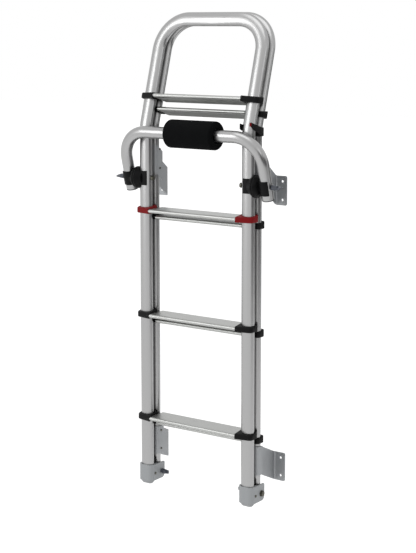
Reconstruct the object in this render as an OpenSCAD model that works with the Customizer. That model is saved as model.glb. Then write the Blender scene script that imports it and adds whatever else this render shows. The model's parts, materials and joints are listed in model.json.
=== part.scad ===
// Folding rear ladder for a camper van, shown folded shut.
// A rear section stands on four sheet brackets against the vehicle.
// A front section hinges on it at the foot and swings forward and down.
// A padded spacer bar turns on two clamp bolts near the top of the front section.

/* [Frames] */
// distance between the two stile axes
stile_span = 323; // [260:1:420]
// overall width of the flat oval tube, across the ladder
tube_w = 37; // [30:0.5:44]
// overall depth of the flat oval tube
tube_d = 22; // [18:0.5:26]
// wall of the flat oval tube
tube_wall = 2; // [1:0.25:3]
// distance from the front section to the rear section
section_gap = 30; // [28:0.5:40]
// height above the hinge bolt where the stiles start to bend back
bend_z = 925; // [870:1:940]
// how far the tops lean back, as a share of their length
lean_rate = 0.28; // [0.28:0.04:0.32]
// radius of that bend at the tube axis
bend_r = 100; // [80:10:120]
// height of the rear tubes' lower ends above the hinge bolts
rear_foot = 16; // [14:0.5:20]
// length from the end of the bend to the axis of the top bar
arch_len = 274; // [240:1:320]
// corner radius of the arch at the tube axis
corner_r = 82; // [60:1:100]

/* [Rungs] */
// distance from tread to tread along the stile
rung_step = 280; // [240:1:300]
// height of the lowest front tread above the hinge bolt
rung_low = 162; // [150:1:200]
// how much higher the topmost front tread sits
top_extra = 20; // [0:1:30]
// distance from tread to tread of the rear section
rear_step = 279; // [277:0.5:280]
// how much lower the lowest rear tread sits
rear_drop = 17.5; // [17.5:0.5:40]
// how much higher the topmost rear tread sits
rear_top_extra = 2.5; // [0:0.5:6]
// depth of a tread from nose to back edge
tread_d = 65; // [50:1:75]
// distance from the stile axis to the front of the nose
nose_out = 25; // [18:0.5:30]
// height of a rung and of its rounded nose
nose_h = 10; // [9:0.5:10]
// wall of the hollow rung
rung_wall = 1.75; // [1.5:0.25:2.25]
// number of grip ribs on the walking face
rib_count = 11; // [5:1:14]
// free play between a rung end and the other section's stile
rung_clear = 6; // [6:0.5:8]

/* [Caps] */
// wall of a cap round the stile
cap_wall = 3; // [2:0.25:3.5]
// how far a cap stands past the smooth face of the rung
cap_rise = 3; // [1:0.5:5]
// cap cover over the rung's profile
cap_cover = 1; // [0.5:0.25:1]
// how far a front cap bulges forward
cap_bulge = 3; // [0:0.5:5]

/* [Brackets] */
// sheet thickness of a bracket
sheet_t = 2.5; // [2:0.25:3]
// distance from the rear stile axis to the wall
wall_reach = 82; // [70:1:90]
// width of the wall flange
flange_w = 34; // [30:1:40]
// height of the wall flange
flange_h = 76; // [64:1:76]
// radius of the wall holes
wall_hole_r = 3.3; // [2.5:0.1:4.5]
// distance between the two wall holes
wall_hole_step = 48; // [40:1:56]
// distance of the wall holes from the plate's inner face
wall_hole_out = 21; // [16:0.5:24]
// centre height of the upper wall flanges
upper_flange_z = 781; // [760:1:795]
// centre height of the upper wraps
upper_wrap_z = 851; // [840:1:860]
// centre height of the lower wall flanges
lower_flange_z = 52; // [52:0.5:56]
// centre height of the lower wraps
lower_wrap_z = 87; // [87:0.5:88]
// height of a wrap round the stile
wrap_h = 76; // [70:1:76]
// end of the inner flap behind the rear stile axis
flap_back = 14; // [8:1:40]
// how far the outer plate is set in from the outer side of the stile
plate_in = 8; // [4:0.5:9]
// distance between the two screws of a wrap
screw_step = 50; // [40:1:54]

/* [Hinge] */
// shank radius of the hinge bolts
pivot_r = 4; // [3:0.25:5]
// running clearance round a shank
run_clear = 0.06; // [0.02:0.01:0.1]
// top of the hinge block above the bolt
block_top = 24; // [20:0.5:30]
// bottom of the hinge block below the bolt
block_low = 20; // [16:0.5:21]
// wall of the hinge block
block_wall = 3.5; // [3:0.25:5]
// side play between block and rear stile
cheek_clear = 1; // [0.5:0.1:1.5]
// end of the cheeks behind the hinge bolt
cheek_back = 15; // [13:0.5:18]
// depth of the plugs inside the tubes' lower ends
plug_in = 18; // [14:0.5:20]
// radius of the hollow on top of the webs
web_r = 18; // [16:0.5:22]
// length of the inner wing knobs
pivot_knob_l = 25; // [18:0.5:28]
// height of the inner wing knobs
pivot_knob_h = 15; // [14:0.5:20]

/* [Spacer bar] */
// outer diameter of the spacer tube
bar_d = 31; // [27:0.5:34]
// wall of the spacer tube
bar_wall = 1.75; // [1:0.25:3]
// free width between a front stile and the leg beside it
leg_gap = 19; // [16:0.5:24]
// corner radius of the spacer at the tube axis
bar_corner_r = 75; // [60:1:90]
// distance from the clamp bolt to the axis of the run
bar_rise = 128; // [120:1:140]
// length of a leg below the clamp bolt
bar_tail = 32; // [28:1:40]
// angle by which the spacer leans forward at rest
bar_lean = 15; // [15:0.5:25]
// height of the clamp bolts above the hinge bolts
clamp_z = 802; // [790:1:815]
// radius of the clamp discs
disc_r = 29; // [22:0.5:29]
// gap between the two clamp discs
disc_gap = 0.4; // [0.3:0.1:0.6]
// length of the outer wing knobs
knob_l = 28; // [20:0.5:30]
// width of the outer wing knobs
knob_h = 20; // [16:0.5:24]
// diameter of the foam roller
foam_d = 73; // [60:1:76]
// length of the foam roller
foam_len = 147; // [120:1:190]
// how far the foam roller sits off the middle
foam_shift = 15; // [0:1:20]

/* [Clip] */
// height of the clip's ring
clip_h = 22; // [16:1:24]
// side play between clip arms and front stile
clip_clear = 0.5; // [0.3:0.1:1]
// thickness of a clip arm
clip_t = 3; // [2.5:0.25:4]

/* [Hidden] */
$fn = 32;
eps = 0.01;
hw = tube_w / 2;
hd = tube_d / 2;
half_span = stile_span / 2;
stile_in = half_span - hw;
stile_out = half_span + hw;
lean_back = asin(lean_rate);
lean_y = bend_r * (1 - cos(lean_back));
lean_z = bend_z + bend_r * lean_rate;
bend_path = bend_r * lean_back * PI / 180;
block_x = hw + cheek_clear + block_wall;
slot_front = section_gap - hd - cheek_clear;
wall_y = section_gap + wall_reach;
nose_r = nose_h / 2;
heel_r = 3.5;
rung_half = stile_in - rung_clear;
rung_end = stile_in - 1;
notch_y = section_gap - hd - 7;
disc_x = stile_out + sheet_t + 5.5;
disc_t = (leg_gap - sheet_t - 5.5 - disc_gap) / 2;
bar_span = stile_span + tube_w + 2 * leg_gap + bar_d;
bar_in = bar_span / 2 - bar_d / 2;
bar_out = bar_span / 2 + bar_d / 2;
plate_x = stile_out - plate_in;
flange_x = plate_x + wall_hole_out;
clip_front = -22;
upper_cut_y = section_gap - hd;
screw_r = 2.5;
screw_back = 2.5;

// Frame and helpers

// The origin lies on the wall face of the upper right flange.
module place() {
  translate([-flange_x, -wall_y, -upper_flange_z])
    children();
}

// The same shape on both sides.
module both_sides() {
  children();
  mirror([1, 0, 0])
    children();
}

// Children stand on the leaning part, s above the end of the bend.
module on_lean(s) {
  translate([0, lean_y, lean_z])
    rotate([-lean_back, 0, 0])
      translate([0, 0, s])
        children();
}

// Flat oval outline, a is half its width and b half its depth.
module flat_oval(a, b) {
  square([2 * (a - b), 2 * b], center = true);
  translate([a - b, 0])
    circle(r = b);
  translate([b - a, 0])
    circle(r = b);
}

// Rod along X from x0 to x1.
module rod_x(r, x0, x1) {
  translate([x0, 0, 0])
    rotate([0, 90, 0])
      cylinder(r = r, h = x1 - x0);
}

// Height of rung number i, counted from the top.
function front_z(i) = rung_low + (4 - i) * rung_step + (i == 1 ? top_extra : 0);
function rear_z(i) = rung_low - rear_drop + (4 - i) * rear_step + (i == 1 ? rear_top_extra : 0);
function lean_s(z) = max(0, z - bend_z - bend_path);
function path_y(z) = z > bend_z ? lean_y + lean_s(z) * sin(lean_back) : 0;
function path_lean(z) = z > bend_z ? lean_back : 0;
function path_z(z) = z > bend_z ? lean_z + lean_s(z) * cos(lean_back) : z;

// Frames

// Bend of a stile: a sector of a ring, cut by planes through its centre.
module stile_bend(a, b) {
  far = bend_r + 60;
  translate([half_span, bend_r, bend_z])
    rotate([90, 0, -90])
      intersection() {
        rotate_extrude($fn = 96)
          translate([bend_r, 0])
            rotate(90)
              flat_oval(a, b);
        translate([0, 0, -40])
          linear_extrude(80)
            polygon([[0, 0], [far, 0], [far, far * tan(lean_back)]]);
      }
}

// One leg of a frame from z0 up to the end of the corner.
module frame_leg(a, b, z0) {
  translate([half_span, 0, z0])
    linear_extrude(bend_z - z0)
      flat_oval(a, b);
  stile_bend(a, b);
  on_lean(0)
    translate([half_span, 0, 0])
      linear_extrude(arch_len - corner_r)
        flat_oval(a, b);
  on_lean(arch_len - corner_r)
    translate([half_span - corner_r, 0, 0])
      rotate([90, 0, 0])
        rotate_extrude(angle = 90, $fn = 64)
          translate([corner_r, 0])
            flat_oval(a, b);
}

// The whole bent outline, solid, for a tube of half width a and half depth b.
module frame_bend(a, b, z0) {
  both_sides()
    frame_leg(a, b, z0);
  run = 2 * (half_span - corner_r);
  on_lean(arch_len)
    translate([-run / 2, 0, 0])
      rotate([0, 90, 0])
        linear_extrude(run)
          flat_oval(a, b);
}

// Bent tube with its foot at z0.
module bent_tube(z0) {
  difference() {
    frame_bend(hw, hd, z0);
    frame_bend(hw - tube_wall, hd - tube_wall, z0 - 1);
  }
}

module front_frame() {
  color("silver")
    difference() {
      bent_tube(-block_low);
      both_sides()
        translate([half_span, 0, clamp_z])
          rod_x(pivot_r + run_clear, -hw - 1, hw + 1);
    }
}

module rear_frame() {
  color("silver")
    difference() {
      translate([0, section_gap, 0])
        bent_tube(rear_foot);
      both_sides()
        for (wrap_z = [upper_wrap_z, lower_wrap_z])
          flank_rods(wrap_z, screw_r, -hw - 1, -hw + 5);
    }
}

// Moulded ends of the rear stiles, rounded about the hinge bolt.
module rear_stile_ends() {
  color([0.08, 0.08, 0.085])
    both_sides()
      translate([half_span, section_gap, 0])
        difference() {
          union() {
            linear_extrude(rear_foot)
              flat_oval(hw, hd);
            translate([0, 0, rear_foot])
              linear_extrude(plug_in + 2)
                flat_oval(hw - tube_wall, hd - tube_wall);
            intersection() {
              rod_x(hd, -hw, hw);
              translate([0, 0, -hd])
                linear_extrude(tube_d)
                  flat_oval(hw, hd);
            }
          }
          rod_x(pivot_r + run_clear, -hw - 1, hw + 1);
        }
}

// Rungs

// Outline of a rung without ribs, grown by g: round nose, flat faces and heel.
module rung_outline(g) {
  heel_y = tread_d - nose_out - heel_r;
  translate([nose_r - nose_out, -nose_r])
    circle(r = nose_r + g);
  translate([nose_r - nose_out, -nose_h - g])
    square([tread_d - nose_r - heel_r, nose_h + 2 * g]);
  for (z = [-heel_r, heel_r - nose_h])
    translate([heel_y, z])
      circle(r = heel_r + g);
  translate([heel_y, heel_r - nose_h])
    square([heel_r + g, nose_h - 2 * heel_r]);
}

// Extruded section of a rung: hollow, with two webs and a ribbed walking face.
module rung_section() {
  difference() {
    rung_outline(0);
    difference() {
      rung_outline(-rung_wall);
      for (y = [tread_d * 0.36, tread_d * 0.66])
        translate([y - nose_out, -nose_h])
          square([2, nose_h]);
    }
    rung_grooves();
  }
}

// Grooves between the grip ribs.
module rung_grooves() {
  pitch = (tread_d - nose_h - 2 * heel_r) / rib_count;
  for (i = [0 : rib_count - 1])
    translate([nose_h - nose_out + (i + 0.5) * pitch, 0])
      square([pitch * 0.5, 1.6], center = true);
}

// Rung with its tread at the origin. Its ends are notched beside the other
// section's stiles: behind on side 1, in front on side -1.
module rung(side) {
  color("lightgray")
    difference() {
      translate([-rung_end, 0, 0])
        rotate([90, 0, 90])
          linear_extrude(2 * rung_end)
            rung_section();
      both_sides()
        end_notch(side);
    }
}

module end_notch(side) {
  translate([rung_half, side > 0 ? notch_y : -notch_y - 60, -nose_h - 2])
    cube([20, 60, nose_h + 4]);
}

// Solid outline of a rung from x0 to x1.
module rung_blank(g, x0, x1) {
  translate([x0, 0, 0])
    rotate([90, 0, 90])
      linear_extrude(x1 - x0)
        rung_outline(g);
}

// Children stand at the height z of a section and square to its stiles.
module at_path(z) {
  translate([0, path_y(z), path_z(z)])
    rotate([-path_lean(z), 0, 0])
      children();
}

// Front rungs hang the other way up, with the walking face below.
module turned() {
  translate([0, 0, -nose_h])
    mirror([0, 0, 1])
      children();
}

module front_rung(i) {
  at_path(front_z(i))
    turned()
      rung(1);
}

module rear_rung(i) {
  translate([0, section_gap, 0])
    at_path(rear_z(i))
      rung(-1);
}

// Caps

// Plan of a cap between rung and stile. It grips three millimetres of the rung
// and stays clear of the other section's stile.
module cap_plan(side) {
  near = half_span;
  slim = rung_half + cap_cover;
  front = -nose_out - cap_cover;
  back = tread_d - nose_out + cap_cover;
  polygon(side > 0
    ? [[rung_end - 3, front], [rung_end + 3, front], [rung_end + 10, front + 6], [near, -hd],
       [near, hd], [slim, hd + 2], [slim, back], [rung_half - 3, back]]
    : [[rung_half - 3, front], [slim, front], [slim, -hd - 2], [near, -hd],
       [near, hd], [rung_end + 3, back - 6], [rung_end + 1, back], [rung_end - 3, back]]);
}

// Plan of the collar round the stile, fuller in front by the given bulge.
module collar_plan(bulge) {
  flat_oval(hw + cap_wall, hd + cap_wall);
  if (bulge > 0) {
    translate([0, -bulge])
      flat_oval(hw + cap_wall, hd + cap_wall);
    translate([-hw - cap_wall, -bulge])
      square([2 * (hw + cap_wall), bulge]);
  }
}

// Pair of caps in the frame of their rung.
module cap_pair(side) {
  both_sides()
    difference() {
      union() {
        intersection() {
          rung_blank(cap_cover, rung_half - 5, half_span);
          translate([0, 0, -nose_h - 4])
            linear_extrude(nose_h + 8)
              cap_plan(side);
        }
        translate([half_span, 0, -nose_h - cap_rise])
          linear_extrude(nose_h + cap_rise)
            collar_plan(side > 0 ? cap_bulge : 0);
      }
      translate([half_span, 0, -40])
        linear_extrude(80)
          flat_oval(hw, hd);
      difference() {
        rung_blank(0, rung_half - 20, rung_end);
        end_notch(side);
      }
    }
}

module front_caps(i) {
  color(i == 2 ? [0.5, 0.08, 0.09] : [0.08, 0.08, 0.085])
    at_path(front_z(i))
      turned()
        cap_pair(1);
}

module rear_caps(i) {
  color([0.08, 0.08, 0.085])
    translate([0, section_gap, 0])
      at_path(rear_z(i))
        cap_pair(-1);
}

// Brackets

// Folded sheet: inner flap, round front, outer plate, outward wall flange.
// Its edges slope down toward the wall from cut_y on.
module bracket(wrap_z, flange_z, cut_y) {
  color([0.62, 0.63, 0.64])
    difference() {
      union() {
        intersection() {
          translate([half_span, section_gap, wrap_z - 200])
            linear_extrude(300)
              sheet_plan();
          bracket_side(wrap_z, flange_z, cut_y);
        }
        bracket_flange(flange_z);
      }
      flange_holes(flange_z);
      flank_rods(wrap_z, screw_r, -hw - 5, -hw + 1);
    }
}

// Plan of the sheet: half an oval ring in front, a flap inside, a plate outside.
module sheet_plan() {
  difference() {
    flat_oval(hw + sheet_t, hd + sheet_t);
    flat_oval(hw, hd);
    translate([-hw, 0])
      square([2 * hw, tube_d]);
  }
  translate([-hw - sheet_t, 0])
    square([sheet_t, flap_back]);
  inner = hw - plate_in;
  end_y = wall_reach - sheet_t / 2;
  polygon([[hw, 0], [hw + sheet_t, 0], [hw + sheet_t, hd], [inner + sheet_t, hd + 8],
           [inner + sheet_t, end_y], [inner, end_y], [inner, hd + 7], [hw, hd - 1]]);
}

// Side outline that trims the sheet.
module bracket_side(wrap_z, flange_z, cut_y) {
  lo = wrap_z - wrap_h / 2;
  hi = wrap_z + wrap_h / 2;
  f0 = flange_z - flange_h / 2;
  f1 = flange_z + flange_h / 2;
  translate([stile_in - 5, 0, 0])
    rotate([90, 0, 90])
      linear_extrude(tube_w + 10)
        polygon([[0, lo], [cut_y, lo], [wall_y, f0], [wall_y, f1], [cut_y, hi], [0, hi]]);
}

// Wall flange with a bent edge and rounded outer corners.
module bracket_flange(flange_z) {
  translate([0, wall_y, flange_z])
    rotate([90, 0, 0])
      linear_extrude(sheet_t)
        difference() {
          union() {
            translate([plate_x, -flange_h / 2])
              square([flange_w - 4, flange_h]);
            translate([plate_x, -flange_h / 2 + 4])
              square([flange_w, flange_h - 8]);
            for (z = [-1, 1])
              translate([plate_x + flange_w - 4, z * (flange_h / 2 - 4)])
                circle(r = 4);
          }
        }
}

module flange_holes(flange_z) {
  for (z = [-1, 1])
    translate([flange_x, wall_y + 1, flange_z + z * wall_hole_step / 2])
      rotate([90, 0, 0])
        cylinder(r = wall_hole_r, h = sheet_t + 2);
}

// Two rods along X through the inner flank of a wrap.
module flank_rods(wrap_z, r, x0, x1) {
  for (z = [-1, 1])
    translate([half_span, section_gap + screw_back, wrap_z + z * screw_step / 2])
      rod_x(r, x0, x1);
}

// Screws that hold the wraps on the inner flanks of the rear stiles.
module bracket_screws() {
  color([0.3, 0.3, 0.31])
    both_sides()
      for (wrap_z = [upper_wrap_z, lower_wrap_z]) {
        flank_rods(wrap_z, screw_r, -hw - sheet_t, -hw + 6);
        flank_rods(wrap_z, 4.2, -hw - sheet_t - 2.2, -hw - sheet_t);
      }
}

// Clip

// Plan of the clip: a ring round the rear stile with two arms beside the front one.
module clip_plan() {
  arm = hw + clip_clear;
  for (y = [section_gap, section_gap + lean_y])
    translate([0, y])
      flat_oval(hw + clip_t, hd + clip_t);
  for (x = [arm, -arm - clip_t])
    translate([x, clip_front])
      square([clip_t, section_gap - clip_front]);
}

// Side outline of the clip: low at the ring, rising and tapering toward the tips.
module clip_side() {
  back = section_gap + hd + 10;
  ring = section_gap - hd - clip_t;
  polygon([[back, 0], [back, clip_h], [ring, clip_h + 8], [clip_front + 6, clip_h + 18],
           [clip_front, clip_h + 16], [clip_front, clip_h + 5], [ring, 0]]);
}

module retaining_clip() {
  color([0.08, 0.08, 0.085])
    difference() {
      translate([half_span, 0, bend_z])
        intersection() {
          linear_extrude(50)
            clip_plan();
          translate([-hw - 8, 0, 0])
            rotate([90, 0, 90])
              linear_extrude(2 * hw + 16)
                clip_side();
        }
      translate([0, section_gap, 0])
        stile_bend(hw, hd);
      translate([0, section_gap, 0])
        on_lean(0)
          translate([half_span, 0, 0])
            linear_extrude(40)
              flat_oval(hw, hd);
      translate([half_span - hw + 6, section_gap, bend_z - 1])
        cube([2 * hw - 12, 40, 60]);
      clip_room();
      clip_ribs();
    }
}

// Room for the front stile between the arms and the ring.
module clip_room() {
  play = clip_clear / 2;
  stile_bend(hw + play, hd + 1);
  on_lean(0)
    translate([half_span, 0, 0])
      linear_extrude(40)
        flat_oval(hw + play, hd + 1);
}

// Finger grooves across the outer arm.
module clip_ribs() {
  for (i = [0 : 4])
    translate([stile_out + clip_clear + clip_t - 0.6, clip_front + 8 + i * 4.5, bend_z])
      cube([1, 2, 60]);
}

// Coloured finger tab at the front end of the outer arm.
module clip_tip() {
  color([0.5, 0.08, 0.09])
    translate([stile_out + clip_clear, clip_front - 5, bend_z + clip_h + 6])
      linear_extrude(9)
        union() {
          translate([0, 1.5])
            square([clip_t, 3.5]);
          translate([1.5, 1.5])
            circle(r = 1.5);
        }
}

// Hinge

// Plan of a hinge block: round front, straight cheeks, open slot at the back.
module block_plan() {
  back = section_gap + cheek_back;
  difference() {
    union() {
      flat_oval(block_x, hd + block_wall);
      translate([-block_x, 0])
        square([2 * block_x, back]);
    }
    flat_oval(hw, hd);
    translate([-hw - cheek_clear, slot_front])
      square([2 * (hw + cheek_clear), back]);
  }
}

module hinge_block() {
  back = section_gap + cheek_back;
  color([0.66, 0.67, 0.68])
    translate([half_span, 0, 0])
      difference() {
        intersection() {
          translate([0, 0, -block_low])
            linear_extrude(block_top + block_low)
              block_plan();
          rotate([90, 0, 90])
            translate([0, 0, -block_x - 1])
              linear_extrude(2 * block_x + 2)
                block_side(back);
        }
        translate([0, section_gap, 0])
          rod_x(pivot_r + run_clear, -block_x - 1, block_x + 1);
        translate([0, 3, 0])
          for (side = [0, 1])
            mirror([side, 0, 0])
              rod_x(screw_r, hw - 0.5, block_x + 1);
      }
}

// Side outline of a block with its rear lower corner rounded.
module block_side(back) {
  r = 12;
  front = -hd - block_wall - 1;
  translate([front, -block_low])
    square([back - r - front, block_top + block_low]);
  translate([front, -block_low + r])
    square([back - front, block_top + block_low - r - 4]);
  translate([back - r, -block_low + r])
    circle(r = r);
  translate([back - r - 1, block_top - 8])
    square([r - 3, 8]);
  translate([back - 4, block_top - 4])
    circle(r = 4);
}

// Moulded webs that fill the slot behind the front stiles, hollowed on top.
module hinge_webs() {
  color([0.08, 0.08, 0.085])
    both_sides()
      translate([half_span, hd, 0])
        difference() {
          translate([-hw + 4, 0, block_top])
            cube([2 * hw - 8, slot_front - hd, 14]);
          translate([0, 10, block_top + web_r + 8])
            rotate([90, 0, 0])
              cylinder(r = web_r, h = 12);
        }
}

// Plugs in the feet of the front stiles.
module foot_plugs() {
  color([0.72, 0.73, 0.74])
    both_sides()
      translate([half_span, 0, -block_low])
        union() {
          linear_extrude(plug_in)
            flat_oval(hw - tube_wall, hd - tube_wall);
          translate([0, 0, -4])
            linear_extrude(4)
              flat_oval(hw, hd);
          translate([0, 0, -7])
            linear_extrude(3)
              flat_oval(hw - 2, hd - 2);
          translate([0, 0, -9])
            linear_extrude(2)
              flat_oval(hw - 4.5, hd - 4.5);
        }
}

// Hinge bolts with a hexagon head on the outer cheek.
module pivot_bolts() {
  color([0.6, 0.6, 0.58])
    both_sides()
      translate([half_span, section_gap, 0]) {
        rod_x(pivot_r, -block_x - 9.5, block_x);
        rod_x(8, block_x, block_x + 1.5);
        translate([block_x + 1.5, 0, 0])
          rotate([0, 90, 0])
            cylinder(r = 7.5, h = 5, $fn = 6);
      }
}

// Wing knob on the axis X, base at x = 0, grip toward +X.
module wing_knob(length, height, thick) {
  difference() {
    union() {
      rod_x(thick * 0.62, 0, length * 0.6);
      intersection() {
        translate([0, -thick / 2, -height])
          cube([length, thick, 2 * height]);
        rotate([90, 0, 0])
          translate([0, 0, -thick])
            linear_extrude(2 * thick)
              knob_face(length, height);
      }
    }
    rod_x(pivot_r, -1, length * 0.45);
  }
}

// Side outline of the wing, wide at the base and tapered to a round end.
module knob_face(length, height) {
  tip = height * 0.3;
  translate([length - tip, 0])
    circle(r = tip);
  polygon([[0, -height / 2], [length - tip, -tip], [length - tip, tip], [0, height / 2]]);
}

module pivot_knobs() {
  color([0.28, 0.3, 0.34])
    both_sides()
      translate([half_span - block_x, section_gap, 0])
        mirror([1, 0, 0])
          wing_knob(pivot_knob_l, pivot_knob_h, pivot_knob_h * 0.6);
}

// Fixing screws of the hinge blocks.
module block_screws() {
  color([0.45, 0.45, 0.42])
    both_sides()
      translate([half_span, 3, 0])
        both_sides() {
          rod_x(screw_r, hw, block_x);
          rod_x(3.4, block_x, block_x + 1.6);
        }
}

// Spacer bar clamps

// Saddle round the outer face and the front of a stile, flared to its disc.
module stile_saddle() {
  flare_x = half_span + 14;
  difference() {
    union() {
      intersection() {
        translate([half_span, 0, -19])
          linear_extrude(38)
            flat_oval(hw + 2.5, hd + 2.5);
        union() {
          translate([half_span - 9.5, -20, -19])
            cube([40, 20, 38]);
          translate([half_span + 9, -1, -19])
            cube([20, hd + 1, 38]);
        }
      }
      intersection() {
        translate([flare_x, 0, 0])
          rotate([0, 90, 0])
            cylinder(r1 = disc_r * 0.6, r2 = disc_r, h = disc_x - flare_x);
        translate([half_span, -disc_r - 1, -disc_r - 1])
          cube([60, disc_r + 1 + hd, 2 * disc_r + 2]);
      }
      rod_x(disc_r, disc_x, disc_x + disc_t);
    }
    translate([half_span, 0, -40])
      linear_extrude(80)
        flat_oval(hw, hd);
    rod_x(pivot_r, half_span, disc_x + disc_t + 1);
    disc_teeth(disc_x + disc_t);
  }
}

// Ring of shallow radial grooves on the meeting face.
module disc_teeth(x) {
  for (i = [0 : 11])
    rotate([i * 30, 0, 0])
      translate([x - 0.8, disc_r * 0.72, -0.9])
        cube([2, disc_r * 0.2, 1.8]);
}

module clamp_stile_saddles() {
  color([0.08, 0.08, 0.085])
    both_sides()
      translate([0, 0, clamp_z])
        stile_saddle();
}

// Saddle round the inner face and the front of the spacer's leg.
module leg_saddle() {
  x0 = disc_x + disc_t + disc_gap;
  axis_x = bar_span / 2;
  difference() {
    union() {
      rod_x(disc_r, x0, bar_in + 0.5);
      translate([bar_in, 0, 0])
        rotate([0, 90, 0])
          cylinder(r1 = disc_r, r2 = disc_r * 0.6, h = bar_d / 2 - 4);
      intersection() {
        translate([axis_x, 0, 0])
          rotate([bar_lean, 0, 0])
            translate([0, 0, -19])
              cylinder(d = bar_d + 6, h = 38, $fn = 48);
        union() {
          translate([x0, -30, -40])
            cube([axis_x - x0 - 2, 60, 80]);
          translate([x0, -30, -40])
            cube([axis_x - x0 + 12, 30, 80]);
        }
      }
    }
    translate([axis_x, 0, 0])
      rotate([bar_lean, 0, 0])
        translate([0, 0, -2 * disc_r])
          cylinder(d = bar_d, h = 4 * disc_r, $fn = 48);
    rod_x(pivot_r + run_clear, x0 - 1, axis_x);
  }
}

module clamp_leg_saddles() {
  color([0.08, 0.08, 0.085])
    both_sides()
      translate([0, 0, clamp_z])
        leg_saddle();
}

// Clamp bolts through stile and leg, with a nut on the inner side.
module clamp_bolts() {
  color([0.55, 0.55, 0.53])
    both_sides()
      translate([0, 0, clamp_z]) {
        rod_x(pivot_r, stile_in - 7, bar_out + 12);
        translate([stile_in - 6, 0, 0])
          rotate([0, 90, 0])
            cylinder(r = 6.5, h = 6, $fn = 6);
      }
}

module clamp_knobs() {
  color([0.28, 0.3, 0.34])
    both_sides()
      translate([bar_out + 0.5, 0, clamp_z])
        rotate([bar_lean + 90, 0, 0])
          wing_knob(knob_l, knob_h, knob_h * 0.55);
}

// Spacer bar

// Outline of the bar in its own plane, solid, of radius r and tail length t.
module bar_bend(r, t) {
  both_sides() {
    translate([bar_span / 2, 0, -t])
      cylinder(r = r, h = bar_rise - bar_corner_r + t, $fn = 32);
    translate([bar_span / 2 - bar_corner_r, 0, bar_rise - bar_corner_r])
      rotate([90, 0, 0])
        rotate_extrude(angle = 90, $fn = 64)
          translate([bar_corner_r, 0])
            circle(r = r, $fn = 32);
  }
  half_run = bar_span / 2 - bar_corner_r;
  translate([0, 0, bar_rise])
    rod_x(r, -half_run, half_run, $fn = 32);
}

module bumper_tube() {
  color("silver")
    translate([0, 0, clamp_z])
      difference() {
        rotate([bar_lean, 0, 0])
          difference() {
            bar_bend(bar_d / 2, bar_tail);
            bar_bend(bar_d / 2 - bar_wall, bar_tail + 1);
          }
        both_sides()
          rod_x(pivot_r + run_clear, bar_in - 5, bar_out + 5);
      }
}

// Plugs in the lower ends of the spacer.
module bumper_end_plugs() {
  color([0.3, 0.3, 0.31])
    both_sides()
      translate([0, 0, clamp_z])
        rotate([bar_lean, 0, 0])
          translate([bar_span / 2, 0, -bar_tail])
            union() {
              cylinder(r = bar_d / 2 - bar_wall, h = 12);
              translate([0, 0, -2.5])
                cylinder(r = bar_d / 2, h = 2.5);
            }
}

// Foam roller on the run, with softly rounded ends.
module foam_roller() {
  edge = 6;
  color([0.05, 0.05, 0.052])
    translate([0, 0, clamp_z])
      rotate([bar_lean, 0, 0])
        translate([foam_shift - foam_len / 2, 0, bar_rise])
          rotate([0, 90, 0])
            rotate_extrude($fn = 48)
              difference() {
                union() {
                  square([foam_d / 2 - edge, foam_len]);
                  translate([0, edge])
                    square([foam_d / 2, foam_len - 2 * edge]);
                  for (z = [edge, foam_len - edge])
                    translate([foam_d / 2 - edge, z])
                      circle(r = edge);
                }
                square([bar_d / 2, foam_len]);
              }
}

// Assembly

place() {
  rear_frame();
  rear_stile_ends();
  rear_rung(1);  // rear_rung_1
  rear_rung(2);  // rear_rung_2
  rear_rung(3);  // rear_rung_3
  rear_rung(4);  // rear_rung_4
  rear_caps(1);  // rear_caps_1
  rear_caps(2);  // rear_caps_2
  rear_caps(3);  // rear_caps_3
  rear_caps(4);  // rear_caps_4
  bracket(upper_wrap_z, upper_flange_z, upper_cut_y);  // bracket_upper_right
  mirror([1, 0, 0]) bracket(upper_wrap_z, upper_flange_z, upper_cut_y);  // bracket_upper_left
  bracket(lower_wrap_z, lower_flange_z, section_gap + 5);  // bracket_lower_right
  mirror([1, 0, 0]) bracket(lower_wrap_z, lower_flange_z, section_gap + 5);  // bracket_lower_left
  bracket_screws();
  retaining_clip();
  clip_tip();
  front_frame();
  front_rung(1);  // front_rung_1
  front_rung(2);  // front_rung_2
  front_rung(3);  // front_rung_3
  front_rung(4);  // front_rung_4
  front_caps(1);  // front_caps_1
  front_caps(2);  // front_caps_2
  front_caps(3);  // front_caps_3
  front_caps(4);  // front_caps_4
  hinge_block();  // hinge_block_right
  mirror([1, 0, 0]) hinge_block();  // hinge_block_left
  hinge_webs();
  foot_plugs();
  pivot_bolts();
  pivot_knobs();
  block_screws();
  clamp_stile_saddles();
  clamp_bolts();
  clamp_knobs();
  bumper_tube();
  bumper_end_plugs();
  clamp_leg_saddles();
  foam_roller();
}
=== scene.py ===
"""Folding rear ladder for a camper van, dressed for its studio picture.

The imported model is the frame. Pieces are made in millimetres in the ladder's own
coordinates: X across from the middle, Y back from the front stiles' axes, Z up
from the hinge bolts. They are then placed in the frame, in metres.
"""

import json
import logging
import math
from collections.abc import Callable
from dataclasses import dataclass, field, replace
from enum import Enum

import bmesh
import bpy
from mathutils import Matrix, Vector


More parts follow.
